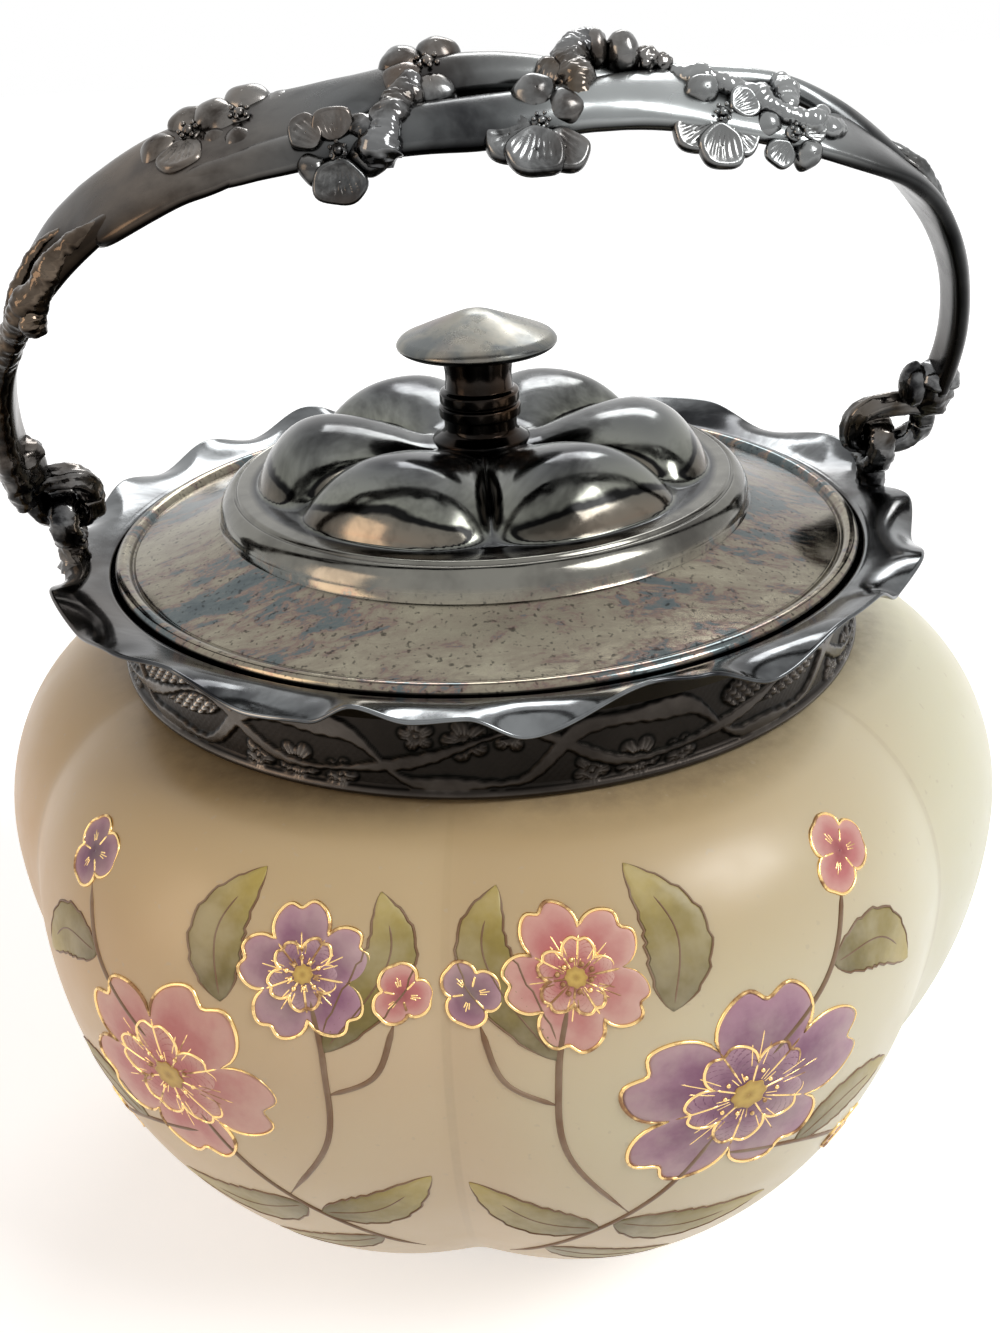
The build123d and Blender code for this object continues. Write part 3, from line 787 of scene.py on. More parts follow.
leaf_paint = enamel("leaf_enamel", (0.15, 0.115, 0.03), (0.26, 0.20, 0.05), (0.44, 0.34, 0.09))
stem_paint = enamel("stem_enamel", stem_brown, stem_brown, stem_brown, mottle=0.15)
heart_paint = enamel(
    "heart_enamel", (0.45, 0.27, 0.05), (0.62, 0.42, 0.10), (0.50, 0.30, 0.07), mottle=0.1
)
gold_paint = gilding()


# ---- Glass bowl -------------------------------------------------------------
def crest_at(heights, inset=0.0, top_radius=shoulder_radius, top=shoulder_height):
    """Radius of a lobe's crest at each height."""
    crest = belly_radius - inset
    curve = belly_curve - inset
    rise = heights - belly_height
    below = crest - curve + np.sqrt(np.clip(curve**2 - rise**2, 0, None))
    share = np.clip(rise / (top - belly_height), 0, 1)
    above = top_radius + (crest - top_radius) * np.sqrt(1 - share**2)
    return np.where(rise < 0, below, above)


def lobed(crest, angles):
    """Radius of the lobed outline at each angle, where a crest has the given radius."""
    half = math.pi / lobe_count
    turn = np.abs((angles - lobe_turn + half) % (2 * half) - half)
    turn = half - np.sqrt((half - turn) ** 2 + seam_softness**2)
    across = lobe_axis_radius * np.sin(turn)
    lobe = crest - lobe_axis_radius
    return lobe_axis_radius * np.cos(turn) + np.sqrt(np.clip(lobe**2 - across**2, 0, None))


def seam_nearness(angles):
    """1 on a seam, falling to 0 within a few degrees."""
    half = math.pi / lobe_count
    away = half - np.abs((angles - lobe_turn + half) % (2 * half) - half)
    return np.exp(-((away / math.radians(1.1)) ** 2))


def glass_radius(angles, heights):
    """Radius of the bowl's outside at an angle and a height."""
    return lobed(crest_at(heights), angles)


def make_bowl():
    """The bowl, from the middle of its base up the outside, over the rim and down the inside."""
    angles = full_turn(540)
    foot = glass_radius(angles, 0.0)
    rings = [(0.01, punt_depth), (punt_radius - 1.5, punt_depth), (punt_radius, 0.0)]
    rings += [(punt_radius + share * (foot - punt_radius), 0.0) for share in (0.35, 0.7, 0.93)]
    lower = foot_rounding + (belly_height - foot_rounding) * np.linspace(0, 1, 70) ** 1.2
    sweep = np.linspace(0, math.pi / 2, 60)[1:]
    upper = belly_height + (shoulder_height - belly_height) * np.sin(sweep)
    for level in np.concatenate((lower, upper)):
        near_neck = level > belly_height + 20
        least = neck_radius if near_neck else 0.0
        rings.append((np.maximum(glass_radius(angles, level), least), level))
    rings += [(neck_radius, shoulder_height), (neck_radius, rim_height - 1.0)]
    rings += [(neck_radius - 1.5, rim_height), (neck_bore_radius + 1.5, rim_height)]
    rings.append((neck_bore_radius, rim_height - 1.0))
    inner_top = shoulder_height - glass_wall
    sweep = np.linspace(0, math.pi / 2, 30)
    upper = belly_height + (inner_top - belly_height) * np.cos(sweep)
    lower = floor_thickness + (belly_height - floor_thickness) * np.linspace(1, 0, 40)[1:]
    for level in np.concatenate((upper, lower)):
        crest = crest_at(level, glass_wall, neck_bore_radius, inner_top)
        least = neck_bore_radius if level > belly_height + 15 else core_radius
        rings.append((np.maximum(lobed(crest, angles), least), level))
    inner_foot = rings[-1][0]
    rings += [(share * inner_foot, floor_thickness) for share in (0.7, 0.35, 0.001)]
    seam = np.tile(seam_nearness(angles), len(rings))
    make_turned(
        "bowl_of_opal_glass",
        rings,
        angles,
        glass,
        "jar",
        ["glass_bowl"],
        wrap_rows=False,
        values={"seam": seam},
    )


make_bowl()


# ---- Painting on the glass --------------------------------------------------
# Places on a lobe are (u, v): millimetres round from the lobe's middle, and up from the belly.
lobe_pitch = 2 * math.pi / lobe_count
paint_radius = 88.0
climb_heights = np.linspace(1.0, shoulder_height - 0.5, 600)
climb_crest = crest_at(climb_heights)
climb_steps = np.hypot(np.diff(climb_heights), np.diff(climb_crest))
climb = np.concatenate(([0.0], np.cumsum(climb_steps)))
climb = climb - np.interp(belly_height, climb_heights, climb)
paint_rise = 0.12  # of the enamel over the glass,
paint_edge = -0.06  # of its edge,
paint_root = -0.45  # and of its hidden underside


def glass_places(lobe, u, v, out):
    """Points on the bowl's outside, or a little out from it, for arrays of (u, v)."""
    angle = lobe_turn + lobe * lobe_pitch + np.asarray(u) / paint_radius
    height = np.interp(v, climb, climb_heights)
    radius = glass_radius(angle, height)
    slope = np.interp(height, climb_heights, np.gradient(climb_crest, climb_heights))
    level = out / np.sqrt(1 + slope**2)
    radius = radius + level
    height = height - slope * level
    return np.stack((radius * np.cos(angle), radius * np.sin(angle), height), axis=-1)


def paint_fan(heap, lobe, u, v, edge, rise=paint_rise):
    """A thin painted shape about a middle, where edge is its reach all the way round."""
    around = len(edge)
    spin = full_turn(around)
    shares = np.concatenate((np.linspace(0.01, 0.96, 14), [1.0], np.linspace(0.96, 0.01, 4)))
    outs = np.repeat((rise, paint_edge, paint_root), (14, 1, 4))
    reach = np.repeat(shares, around)
    shares = shares[:, None]
    points = glass_places(
        lobe, u + shares * edge * np.cos(spin), v + shares * edge * np.sin(spin), outs[:, None]
    )
    heap.add(points.reshape(-1, 3), grid_faces(len(shares), around, wrap_rows=True), reach)


# Section of a raised line, as shares of its width and of its rise.
line_section = ((-0.5, -0.1), (-0.3, 0.75), (0.0, 1.0), (0.3, 0.75), (0.5, -0.1), (0.0, -1.0))
# Section of a leaf, as shares of its half width and heights over the glass.
leaf_section = (
    (-1.0, paint_edge), (-0.9, 0.11), (-0.5, 0.12), (0.0, 0.10), (0.5, 0.12), (0.9, 0.11),
    (1.0, paint_edge), (0.5, paint_root), (-0.5, paint_root),
)


def sideways(places):
    """Unit directions square to a curve on the glass, at each of its places."""
    way = np.gradient(places, axis=0)
    way = way / np.maximum(np.linalg.norm(way, axis=1, keepdims=True), 1e-9)
    return np.stack((-way[:, 1], way[:, 0]), axis=1)


def paint_line(heap, lobe, places, width, rise):
    """A raised line through places, thin at its ends."""
    places = np.asarray(places, float)
    side = sideways(places)
    share = np.linspace(0, 1, len(places))
    swell = np.clip(np.minimum(share, 1 - share) / 0.12, 0.25, 1)
    sections = []
    for offset, out in line_section:
        spot = places + side * (offset * width * swell)[:, None]
        sections.append(glass_places(lobe, spot[:, 0], spot[:, 1], out * rise * swell))
    heap.tube(np.stack(sections, axis=1))


def paint_leaf(heap, lines, lobe, spine, half_width):
    """A toothed leaf along a spine, with its outline and middle vein as raised lines."""
    rows = 30
    teeth = 7
    middle = glide(spine, rows)
    side = sideways(middle)
    share = np.linspace(0, 1, rows)
    half = half_width * np.sin(math.pi * share**0.85) ** 0.8 + 0.05
    half = half * (1 + 0.14 * (share * teeth % 1.0))
    sections = []
    for offset, out in leaf_section:
        spot = middle + side * (offset * half)[:, None]
        sections.append(glass_places(lobe, spot[:, 0], spot[:, 1], out))
    heap.tube(np.stack(sections, axis=1), np.repeat(share, len(leaf_section)))
    for edge_side in (-1, 1):
        paint_line(lines, lobe, middle + side * (edge_side * half)[:, None], 0.42, 0.2)
    paint_line(lines, lobe, middle[:24], 0.38, 0.2)


def paint_blossom(petals_heap, lines, lobe, u, v, size, petals, turn, notch):
    """A painted open blossom: its petals, their outline, the folds between them and their veins."""

    def ray(direction, start, end, width, rise):
        """A straight line out from the middle, from a start to an end in shares of the size."""
        way = np.array((math.cos(direction), math.sin(direction)))
        reaches = size * np.linspace(start, end, 8)[:, None]
        paint_line(lines, lobe, (u, v) + way * reaches, width, rise)

    around = 30 * petals
    spin = full_turn(around)
    local = ((spin - turn) * petals / (2 * math.pi)) % 1.0 - 0.5
    edge = size * (0.55 + 0.45 * np.clip(np.cos(math.pi * local), 0, 1) ** 0.5)
    edge = edge * (1 - notch * np.exp(-((local / 0.09) ** 2)))
    edge = edge * (1 + 0.05 * np.sin(2 * spin + size))
    paint_fan(petals_heap, lobe, u, v, edge)
    ring = np.append(np.arange(around), (0, 1))
    outline = np.stack((u + edge * np.cos(spin), v + edge * np.sin(spin)), axis=1)[ring]
    paint_line(lines, lobe, outline, 0.62, 0.36)
    for petal_number in range(petals):
        fold = turn + 2 * math.pi * petal_number / petals
        ray(fold, 0.2, 0.57, 0.45, 0.26)
        for vein in (-0.16, 0.0, 0.16):
            ray(fold + math.pi / petals + vein, 0.26, 0.62 - 0.7 * abs(vein), 0.3, 0.18)


def paint_heart(hearts, lines, lobe, u, v, size, turn):
    """The blossom's yellow middle, with a ring of gilded dots."""
    spin = full_turn(40)
    paint_fan(hearts, lobe, u, v, size * (1 + 0.08 * np.cos(8 * spin)), 0.24)
    for dot in range(10):
        way = turn + 2 * math.pi * dot / 10
        reach = size * (1.35 + 0.3 * (dot % 2))
        centre = glass_places(lobe, u + reach * math.cos(way), v + reach * math.sin(way), 0.1)
        lines.ball(centre, 0.42, 0.0, 6, 8)


# A spray in a lobe, with u towards the front seam: stems, leaves and blossoms.
spray_stems = [
    [(37, -47), (27, -35), (15, -20), (7, -5)],
    [(19, -25), (28, -8), (29, 8), (27, 20)],
    [(2, 4), (-9, 14), (-15, 25)],
    [(29, 2), (36, 6), (39, 15)],
    [(8, -12), (-6, -18), (-18, -26)],
]
spray_leaves = [
    ([(23, -30), (33, -27), (42, -17)], 4.6),
    ([(21, -28), (9, -34), (-5, -33)], 5.2),
    ([(-6, -18), (-16, -14), (-27, -15)], 4.4),
    ([(-10, 15), (-20, 14), (-27, 6)], 4.0),
    ([(14, 16), (12, 27), (17, 37)], 4.2),
    ([(29, 10), (38, 24), (36, 34)], 3.6),
    ([(31, -40), (20, -47), (8, -49)], 4.0),
]


def paint_spray(lobe, mirror, scale, shift, main, second, name):
    """One spray on a lobe: mirror is 1 or -1, shift is (u, v)."""

    def at(spot):
        return (mirror * scale * spot[0] + shift[0], scale * spot[1] + shift[1])

    leaves, stems, gilded, large, small, hearts = (Heap() for _ in range(6))
    for stem in spray_stems:
        paint_line(stems, lobe, glide([at(spot) for spot in stem], 40), 0.95 * scale, 0.28)
    for spine, half_width in spray_leaves:
        paint_leaf(leaves, stems, lobe, [at(spot) for spot in spine], half_width * scale)
    for heap, spot, size, petals, turn, notch in (
        (large, (4, -1), 18.5, 5, 0.5, 0.14),
        (small, (26, 22), 10.5, 5, 1.1, 0.12),
        (small, (-17, 29), 6.0, 3, 1.2, 0.05),
        (large, (40, 19), 4.6, 3, 0.8, 0.05),
        (small, (-21, -29), 5.0, 3, 2.4, 0.05),
    ):
        place = at(spot)
        size = size * scale
        turned = mirror * turn
        paint_blossom(heap, gilded, lobe, *place, size, petals, turned, notch)
        if petals == 5:
            inner_turn = turned + math.pi / petals
            paint_blossom(heap, gilded, lobe, *place, 0.52 * size, petals, inner_turn, 0.1)
            paint_heart(hearts, gilded, lobe, *place, 0.14 * size, turn)
    for heap, part, material in (
        (leaves, "painted_leaves", leaf_paint),
        (stems, "painted_stems", stem_paint),
        (large, "painted_petals", main),
        (small, "painted_petals_small", second),
        (hearts, "painted_hearts", heart_paint),
        (gilded, "gilded_lines", gold_paint),
    ):
        heap.piece(f"{part}_{name}", material, "jar", "opal_glass")


paint_spray(-2, 1, 1.0, (0.0, -3.0), pink_paint, mauve_paint, "left")
paint_spray(-1, -1, 1.06, (0.0, -4.0), mauve_paint, pink_paint, "right")
paint_spray(1, 1, 0.7, (0.0, 0.0), pink_paint, mauve_paint, "back")


# ---- Collar band ------------------------------------------------------------
band_ground = collar_radius - 0.7  # the sunk ground of the relief
relief_repeats = 8
ribbon_rise = 0.6
outline_width = 0.3  # of the cut line round each stamped figure
circumference = 2 * math.pi * collar_radius
wave_length = circumference / relief_repeats
pebble_pitch = 2.1
edge_bead_half = 0.9  # half the height of the bead along the band's lower edge
# Blossoms of a group, as (place from the group's middle, height, size).
low_blossoms = ((0.0, 3.9, 4.0), (-7.6, 3.4, 3.2), (7.4, 3.2, 3.0))
high_blossoms = ((0.4, 10.2, 3.9), (-7.0, 11.0, 3.0), (7.2, 10.8, 3.1))


def from_middle(around, middle):
    """Distance round the band from a figure's middle, by the shorter way."""
    return (around - middle + 0.5 * circumference) % circumference - 0.5 * circumference


def stamped_blossom(around, up, middle_around, middle_up, size, turn):
    """Height of a stamped blossom over the band's ground, and the distance inside its outline."""
    across = from_middle(around, middle_around)
    rise = up - middle_up
    away = np.hypot(across, rise)
    spin = np.arctan2(rise, across) + turn
    reach = size * (0.55 + 0.45 * np.abs(np.cos(2.5 * spin)) ** 0.6)
    petals = 0.9 * np.sqrt(np.clip(1 - (away / reach) ** 2, 0, None))
    petals = petals * (0.78 + 0.22 * np.cos(20 * spin)) * np.clip(away / (0.4 * size), 0.15, 1)
    heart = 0.8 * np.exp(-((away / (0.16 * size)) ** 2))
    return np.maximum(petals, heart), reach - away


def band_relief(around, up):
    """Height and brightness of the stamped ornament: ribbons, blossoms and pebbled fields."""
    phase = relief_repeats * around / collar_radius
    main_line = 7.0 + 4.4 * np.sin(phase + 0.6 * np.sin(2 * phase))
    side_line = 7.6 + 3.8 * np.sin(phase + 2.5 + 0.5 * np.sin(phase))
    main_half = 1.35 + 0.45 * np.sin(3 * phase + 1.0) + 0.3 * np.sin(phase)
    side_half = 0.9 + 0.4 * np.sin(2 * phase + 0.4)
    inside_main = main_half - np.abs(up - main_line)
    inside_side = side_half - np.abs(up - side_line)
    ribbon_inside = np.maximum(inside_main, inside_side)
    ribbon_inside = ribbon_inside + 0.15 * np.sin(2.3 * around) * np.cos(1.9 * up)
    height = 0.05 * np.sin(5.1 * around) * np.sin(4.7 * up)
    figure_inside = np.full_like(around, -9.0)
    figure_height = np.zeros_like(around)
    for repeat in range(relief_repeats):
        turn = 1.3 * repeat
        groups = [((repeat + 0.25) * wave_length, low_blossoms)]
        if repeat % 2:
            groups.append(((repeat + 0.75) * wave_length, high_blossoms))
        else:
            across = from_middle(around, (repeat + 0.75) * wave_length)
            lens = 3.8 * (1 - (across / 12.0) ** 2 - ((up - 10.2) / 3.9) ** 2)
            waves = math.pi / pebble_pitch
            pebbles = np.abs(np.cos((around + up) * waves) * np.cos((around - up) * waves)) ** 0.7
            figure_height = np.maximum(figure_height, np.where(lens > 0, 0.15 + 0.7 * pebbles, 0))
            figure_inside = np.maximum(figure_inside, lens)
        for middle, group in groups:
            for offset, level, size in group:
                place = (middle + offset, level)
                blossom_height, inside = stamped_blossom(around, up, *place, size, turn + offset)
                figure_height = np.maximum(figure_height, blossom_height)
                figure_inside = np.maximum(figure_inside, inside)
    on_ribbon = np.clip(ribbon_inside / 0.3 + 0.5, 0, 1)
    off_ribbon = ribbon_inside < -0.25
    figure = figure_height * np.clip(figure_inside / 0.2, 0, 1) * off_ribbon
    outline = np.minimum(np.abs(ribbon_inside), np.where(off_ribbon, np.abs(figure_inside), 9.0))
    cut = np.exp(-((outline / outline_width) ** 2))
    height = np.maximum(height, figure) * (1 - on_ribbon) + ribbon_rise * on_ribbon - 0.2 * cut
    tone = np.where(figure_inside > 0, 0.15 + 0.95 * figure, 0.33)
    tone = tone * (1 - on_ribbon) + 0.66 * on_ribbon
    return height, tone * (1 - 0.9 * cut)


def make_collar():
    """The stamped band, with a bead along its lower edge and a plain inside."""
    angles = full_turn(1680)
    levels = np.linspace(0, band_top - band_bottom, 62)
    up, around = np.meshgrid(levels, collar_radius * angles, indexing="ij")
    relief, tone = band_relief(around, up)
    bead = np.sqrt(np.clip(1 - ((up - edge_bead_half) / edge_bead_half) ** 2, 0, None))
    inner_radius = collar_radius - sheet - 0.5
    rings = list(zip(band_ground + np.maximum(relief, bead), band_bottom + levels))
    rings += [(inner_radius, band_top), (inner_radius, band_bottom)]
    tone = np.concatenate((np.maximum(tone, 0.7 * bead), np.zeros((2, len(angles)))))
    make_turned(
        "collar_band_stamped",
        rings,
        angles,
        collar_metal,
        "jar",
        ["collar_band"],
        values={"tone": tone},
    )


make_collar()


# ---- Lid --------------------------------------------------------------------
# Section along the middle of a lobe of the dome, smoothed between these points.
lobe_section = [
    (2.0, 16.6), (9.5, 17.2), (16.0, 19.4), (22.0, 21.2), (28.0, 22.0), (32.5, 21.3),
    (36.0, 19.3), (39.0, 16.0), (40.8, 12.8), (41.8, 9.5), (44.0, 4.0),
]
crest_radii, crest_heights = glide(lobe_section, 200).T
plate_edge = lid_radius - rim_bead_radius
roll_middle = 0.5 * (gutter_radius + step_radius) - 0.4
roll_foot = step_radius + 0.2
lobe_blend = 1.3  # rounding of the creases beside the dome's lobes
drawn_in_from = 27.0  # radius past which a lobe's sides draw in
drawn_in_most = 5.5


def lid_height(radii, angles):
    """Top of the lid above the middle of its rolled rim."""
    share = np.clip((radii - step_radius) / (plate_edge - step_radius), 0, 1)
    plate = step_height * (1 - share) - 0.5 * np.sin(math.pi * share)
    ground = np.interp(radii, (crown_radius, gutter_radius - 2.5), (crown_height, gutter_height))
    pitch = 2 * math.pi / lobe_count
    aside = np.abs(((angles - dome_lobe_turn + 0.5 * pitch) % pitch - 0.5 * pitch) / (0.5 * pitch))
    outer = np.clip((radii - drawn_in_from) / (gutter_radius - drawn_in_from), 0, 1)
    drawn_in = radii + drawn_in_most * aside**4 * outer
    crest = np.interp(drawn_in, crest_radii, crest_heights)
    fuller = np.clip(1 - aside**2.2, 0, 1) ** 0.55
    lobe = ground - 1.0 + (crest - ground + 1.0) * fuller
    dome = soft_max(lobe, ground, lobe_blend)
    bend = np.clip((radii - roll_middle) / (roll_foot - roll_middle), 0, 1)
    roll_rise = gutter_height - 0.2 - step_height
    roll = step_height + roll_rise * np.sqrt(np.clip(1 - bend**2, 0, None))
    groove = -0.45 * np.exp(-(((radii - roll_middle - 0.4) / 0.35) ** 2))
    inside = np.where(radii < gutter_radius, dome, gutter_height)
    inside = np.where(radii < roll_middle, inside, roll)
    top = np.where(radii < roll_foot, inside, plate)
    bead = np.sqrt(np.clip(rim_bead_radius**2 - (radii - plate_edge) ** 2, 0, None))
    line = -0.35 * np.exp(-(((radii - incised_line_radius) / 0.25) ** 2))
    bead = np.where(radii > plate_edge - rim_bead_radius, bead, -9.0)
    return np.maximum(top + groove + line, bead)


def make_lid():
    """The lid's shell: its modelled top, and its underside a gauge of sheet below."""
    angles = full_turn(432)
    radii = np.concatenate(
        (
            np.linspace(2.3, 10, 6, endpoint=False),
            np.linspace(10, 43, 90, endpoint=False),
            np.linspace(43, 49.4, 34, endpoint=False),
            np.linspace(49.4, 64.2, 16, endpoint=False),
            np.linspace(64.2, lid_radius - 0.02, 34),
        )
    )
    tops = lid_height(radii[:, None], angles)
    under_radii = np.concatenate(([lid_radius - 0.6, lid_radius - 1.6], radii[::-3][3:]))
    under = lid_height(under_radii[:, None], angles) - sheet
    under[:2] = [[-1.2], [-1.5]]
    near_rim = under_radii > lid_radius - 3.4
    under[near_rim] = np.minimum(under[near_rim], -0.9)
    rings = list(zip(np.append(radii, under_radii), lid_base + np.concatenate((tops, under))))
    make_turned("lid_shell", rings, angles, lid_metal, "lid", ["lid_cover"])


make_lid()


# ---- Gallery ----------------------------------------------------------------
# Edge of the gallery as (azimuth from the front, height over the rim plane, radius).
ruffles = [
    (-180, 2.6, 77.0), (-167, -0.2, 76.5), (-156, 5.0, 77.5), (-145, 1.0, 76.5),
    (-136, 3.6, 77.5), (-126, 0.8, 77.0), (-116, 3.4, 77.5), (-104, 0.4, 77.0),
    (-95, 2.4, 78.5), (-86, -0.6, 77.0), (-76, 2.8, 79.4), (-66, 0.6, 78.4),
    (-56, 2.4, 78.4), (-46, 3.8, 77.8), (-34, 0.0, 78.0), (-27, 0.4, 78.0),
    (-22, 3.3, 77.6), (-16, 1.2, 77.6), (-10, 1.8, 77.6), (-4, -1.2, 78.2),
    (10, 4.6, 77.6), (16, 3.6, 77.5), (25, -0.5, 77.8), (37, 4.0, 78.0),
    (44, 4.2, 78.0), (52, 0.0, 77.6), (60, 2.6, 79.4), (72, -0.8, 77.5),
    (82, 2.2, 79.2), (92, 0.4, 77.0), (104, 4.4, 77.8), (120, 0.8, 76.8),
    (132, 4.2, 77.5), (148, 3.0, 77.0), (164, 0.4, 76.6),
]
front_turn = math.radians(-90.0)
edge_bead = 0.38  # radius of the ruffles' rounded edge
crest_rise = 0.5  # of the fold beside the lid, over the middle of the lid's rim


def wrap_curve(places, values, angles):
    """A smooth closed curve of values through places, read at angles, all in degrees."""
    places = np.concatenate((places[-2:] - 360, places, places[:2] + 360))
    values = np.concatenate((values[-2:], values, values[:2]))
    where = (angles + 180) % 360 - 180
    step = np.clip(np.searchsorted(places, where) - 1, 0, len(places) - 2)
    share = (where - places[step]) / (places[step + 1] - places[step])
    share = share * share * (3 - 2 * share)
    return values[step] * (1 - share) + values[step + 1] * share


def make_gallery():
    """The ruffled sheet: a ledge under the lid, a fold beside it, and ruffles to a thin edge."""
    angles = full_turn(900)
    azimuth = np.degrees(angles - front_turn)
    places, heights, radii = np.array(ruffles).T
    edge_height = lid_base + wrap_curve(places, heights, azimuth)
    edge_radius = wrap_curve(places, radii, azimuth)
    crest = lid_base + crest_rise
    rings = [
        (ledge_inner_radius, seat_height),
        (66.0, seat_height),
        (lid_radius + 0.3, seat_height),
        (lid_radius + 0.4, seat_height + 0.3),
        (lid_radius + 0.5, crest - 0.9),
        (lid_radius + 0.8, crest - 0.35),
        (lid_radius + 1.3, crest - 0.05),
    ]
    start = lid_radius + 1.7
    outward = np.linspace(0, 1, 30)[:, None]
    top_radii = start + (edge_radius - start) * outward
    tops = crest + (edge_height - crest) * outward**1.7 + 0.7 * np.sin(math.pi * outward)
    rings += zip(top_radii, tops)
    for turn in np.radians((30, 70, 110, 150)):
        drop = edge_bead * (1 - math.cos(turn))
        rings.append((edge_radius + edge_bead * math.sin(turn), edge_height - drop))
    thick = 2 * edge_bead + (sheet - 2 * edge_bead) * (1 - outward)
    rings += zip(top_radii[::-3], (tops - thick)[::-3])
    rings += [(radius, seat_height - sheet) for radius in (trough_radius, ledge_inner_radius)]
    make_turned(
        "ruffled_gallery", rings, angles, gallery_metal, "jar", ["gallery"]
    )


make_gallery()


# ---- Knob -------------------------------------------------------------------
def make_knob():
    """The turned stem with its rings, and the flat pointed cap."""
    base = crown_level
    stem = [
        (0.01, base, 0),
        (8.9, base, 0.3),
        (8.9, base + 0.7, 0.6),
        (6.9, base + 1.9, 0.9),
        (6.6, base + 2.6, 0.3),
        (6.6, base + 4.5, 0.3),
        (7.4, base + 4.7, 0.3),
        (7.4, base + 6.6, 0.3),
        (6.7, base + 6.9, 0.15),
        (7.2, base + 7.3, 0.3),
        (7.2, base + 9.2, 0.4),
        (6.2, base + 9.6, 0.3),
        (5.9, base + 12.0, 2.0),
        (6.5, cap_underside - 0.6, 1.0),
        (6.9, cap_underside + 0.3, 0),
        (0.01, cap_underside + 0.4, 0),
    ]
    lathe("knob_stem_turned", stem, stem_metal, "knob_stem")
    cap = [
        (0.01, cap_underside, 0),
        (7.0, cap_underside, 1.0),
        (cap_radius - 1.3, cap_underside + 0.1, 1.0),
        (cap_radius, cap_underside + 1.2, 1.0),
        (cap_radius - 1.0, cap_underside + 2.5, 1.0),
        (7.0, cap_underside + 5.1, 4.0),
        (2.2, knob_top - 0.25, 1.6),
        (0.01, knob_top, 0),
    ]
    lathe("knob_cap_pointed", cap, cap_metal, "knob_cap")


make_knob()


# ---- Bail: places on the leaning arch ---------------------------------------
def unit(vector):
    """A vector's direction, with a length of 1."""
    return vector / np.linalg.norm(vector)


def straight(start, end, count):
    """Even places along a straight line."""
    return start + (end - start) * np.linspace(0, 1, count)[:, None]


lean = math.radians(bail_lean)
bail_front = np.array((0.0, -math.cos(lean), -math.sin(lean)))
bail_up = np.array((0.0, -math.sin(lean), math.cos(lean)))
bail_across = np.array((1.0, 0.0, 0.0))
leg_to_crown = bail_rise - leg_height
crown_centre_drop = crown_curve - leg_to_crown
shoulder_curve = (crown_curve**2 - bail_half_width**2 - crown_centre_drop**2) / (
    2 * (crown_curve - bail_half_width)
)
shoulder_centre = bail_half_width - shoulder_curve
crown_half_angle = math.degrees(math.asin(shoulder_centre / (crown_curve - shoulder_curve)))


def arch_frame(angle, front, lift):
    """A place on the bail's arch, with the directions along it, out of it and to its front.

    Past 90 degrees the arch runs straight down the leg, a millimetre for each degree."""
    side = math.copysign(1.0, angle)
    turn = math.radians(min(abs(angle), 90.0)) * side
    down = max(abs(angle) - 90.0, 0.0)
    if abs(angle) <= crown_half_angle:
        reach = crown_curve + lift
        x, height = reach * math.sin(turn), bail_rise - crown_curve + reach * math.cos(turn)
    else:
        reach = shoulder_curve + lift
        x = side * shoulder_centre + reach * math.sin(turn)
        height = leg_height + reach * math.cos(turn) - down
    middle = np.array((bail_shift, 0.0, pivot_height))
    place = middle + bail_across * x + bail_up * height + bail_front * front
    outward = bail_across * math.sin(turn) + bail_up * math.cos(turn)
    along = bail_across * math.cos(turn) - bail_up * math.sin(turn)
    return place, along, outward


# ---- Bail: shapes that it is made of ----------------------------------------
def strand(heap, spots, count, around=24):
    """A strand of the band: spots are (angle, front, lift, half width, half thickness, twist)."""
    sections = []
    for angle, front, lift, half, thick, twist in glide(spots, count):
        place, _, outward = arch_frame(angle, front, lift)
        twist = math.radians(twist)
        wide = bail_front * math.cos(twist) + outward * math.sin(twist)
        high = outward * math.cos(twist) - bail_front * math.sin(twist)
        plump = min(max((thick / half - 0.22) / 0.25, 0.0), 1.0)
        half = half * (1 + 0.05 * noise_at(place, 0.16))
        ring = []
        for turn in full_turn(around):
            c, s = math.cos(turn), math.sin(turn)
            out = squared_off(c, 0.5 + 0.35 * plump) * half
            rise = squared_off(s, 0.6 + 0.3 * plump) * thick
            rise += thick * (0.12 + 0.2 * plump) * (1 - (out / half) ** 2)
            ring.append(place + wide * out + high * rise)
        sections.append(ring)
    heap.tube(sections)


def bark(heap, path, radii, rough=0.2, ridges=0.0, knots=()):
    """A rough branch along points, with its radius at each and swollen knots."""
    path = np.asarray(path, float)
    ways = np.gradient(path, axis=0)
    side = unit(np.cross(ways[0], bail_front + 0.1))
    sections = []
    for index, (place, way, radius) in enumerate(zip(path, ways, radii)):
        way = unit(way)
        side = unit(side - way * np.dot(side, way))
        other = np.cross(way, side)
        swell = 1.0
        for spot, gain in knots:
            swell += gain * math.exp(-(((index / len(path) - spot) / 0.05) ** 2))
        ring = []
        for turn in full_turn(26):
            out = side * math.cos(turn) + other * math.sin(turn)
            spot = place + out * radius
            lump = noise_at(spot, 0.42) + 0.6 * noise_at(spot, 1.0) + 0.35 * noise_at(spot, 2.1)
            groove = ridges * math.sin(5 * turn + 0.35 * index)
            ring.append(place + out * radius * swell * (1 + rough * lump + groove))
        sections.append(ring)
    heap.tube(sections)


def bark_on(heap, spots, radius, count, knots=()):
    """A rough branch along places of the band: (angle, front, lift, share of the radius)."""
    rows = glide(spots, count)
    path = [arch_frame(*row[:3])[0] for row in rows]
    bark(heap, path, radius * rows[:, 3], knots=knots)


petal_columns = 40
petal_rings = 15
petal_thickness = 0.36  # of half the petal's width
rib_pitch = 46.0  # ribs in a radian about the blossom's middle


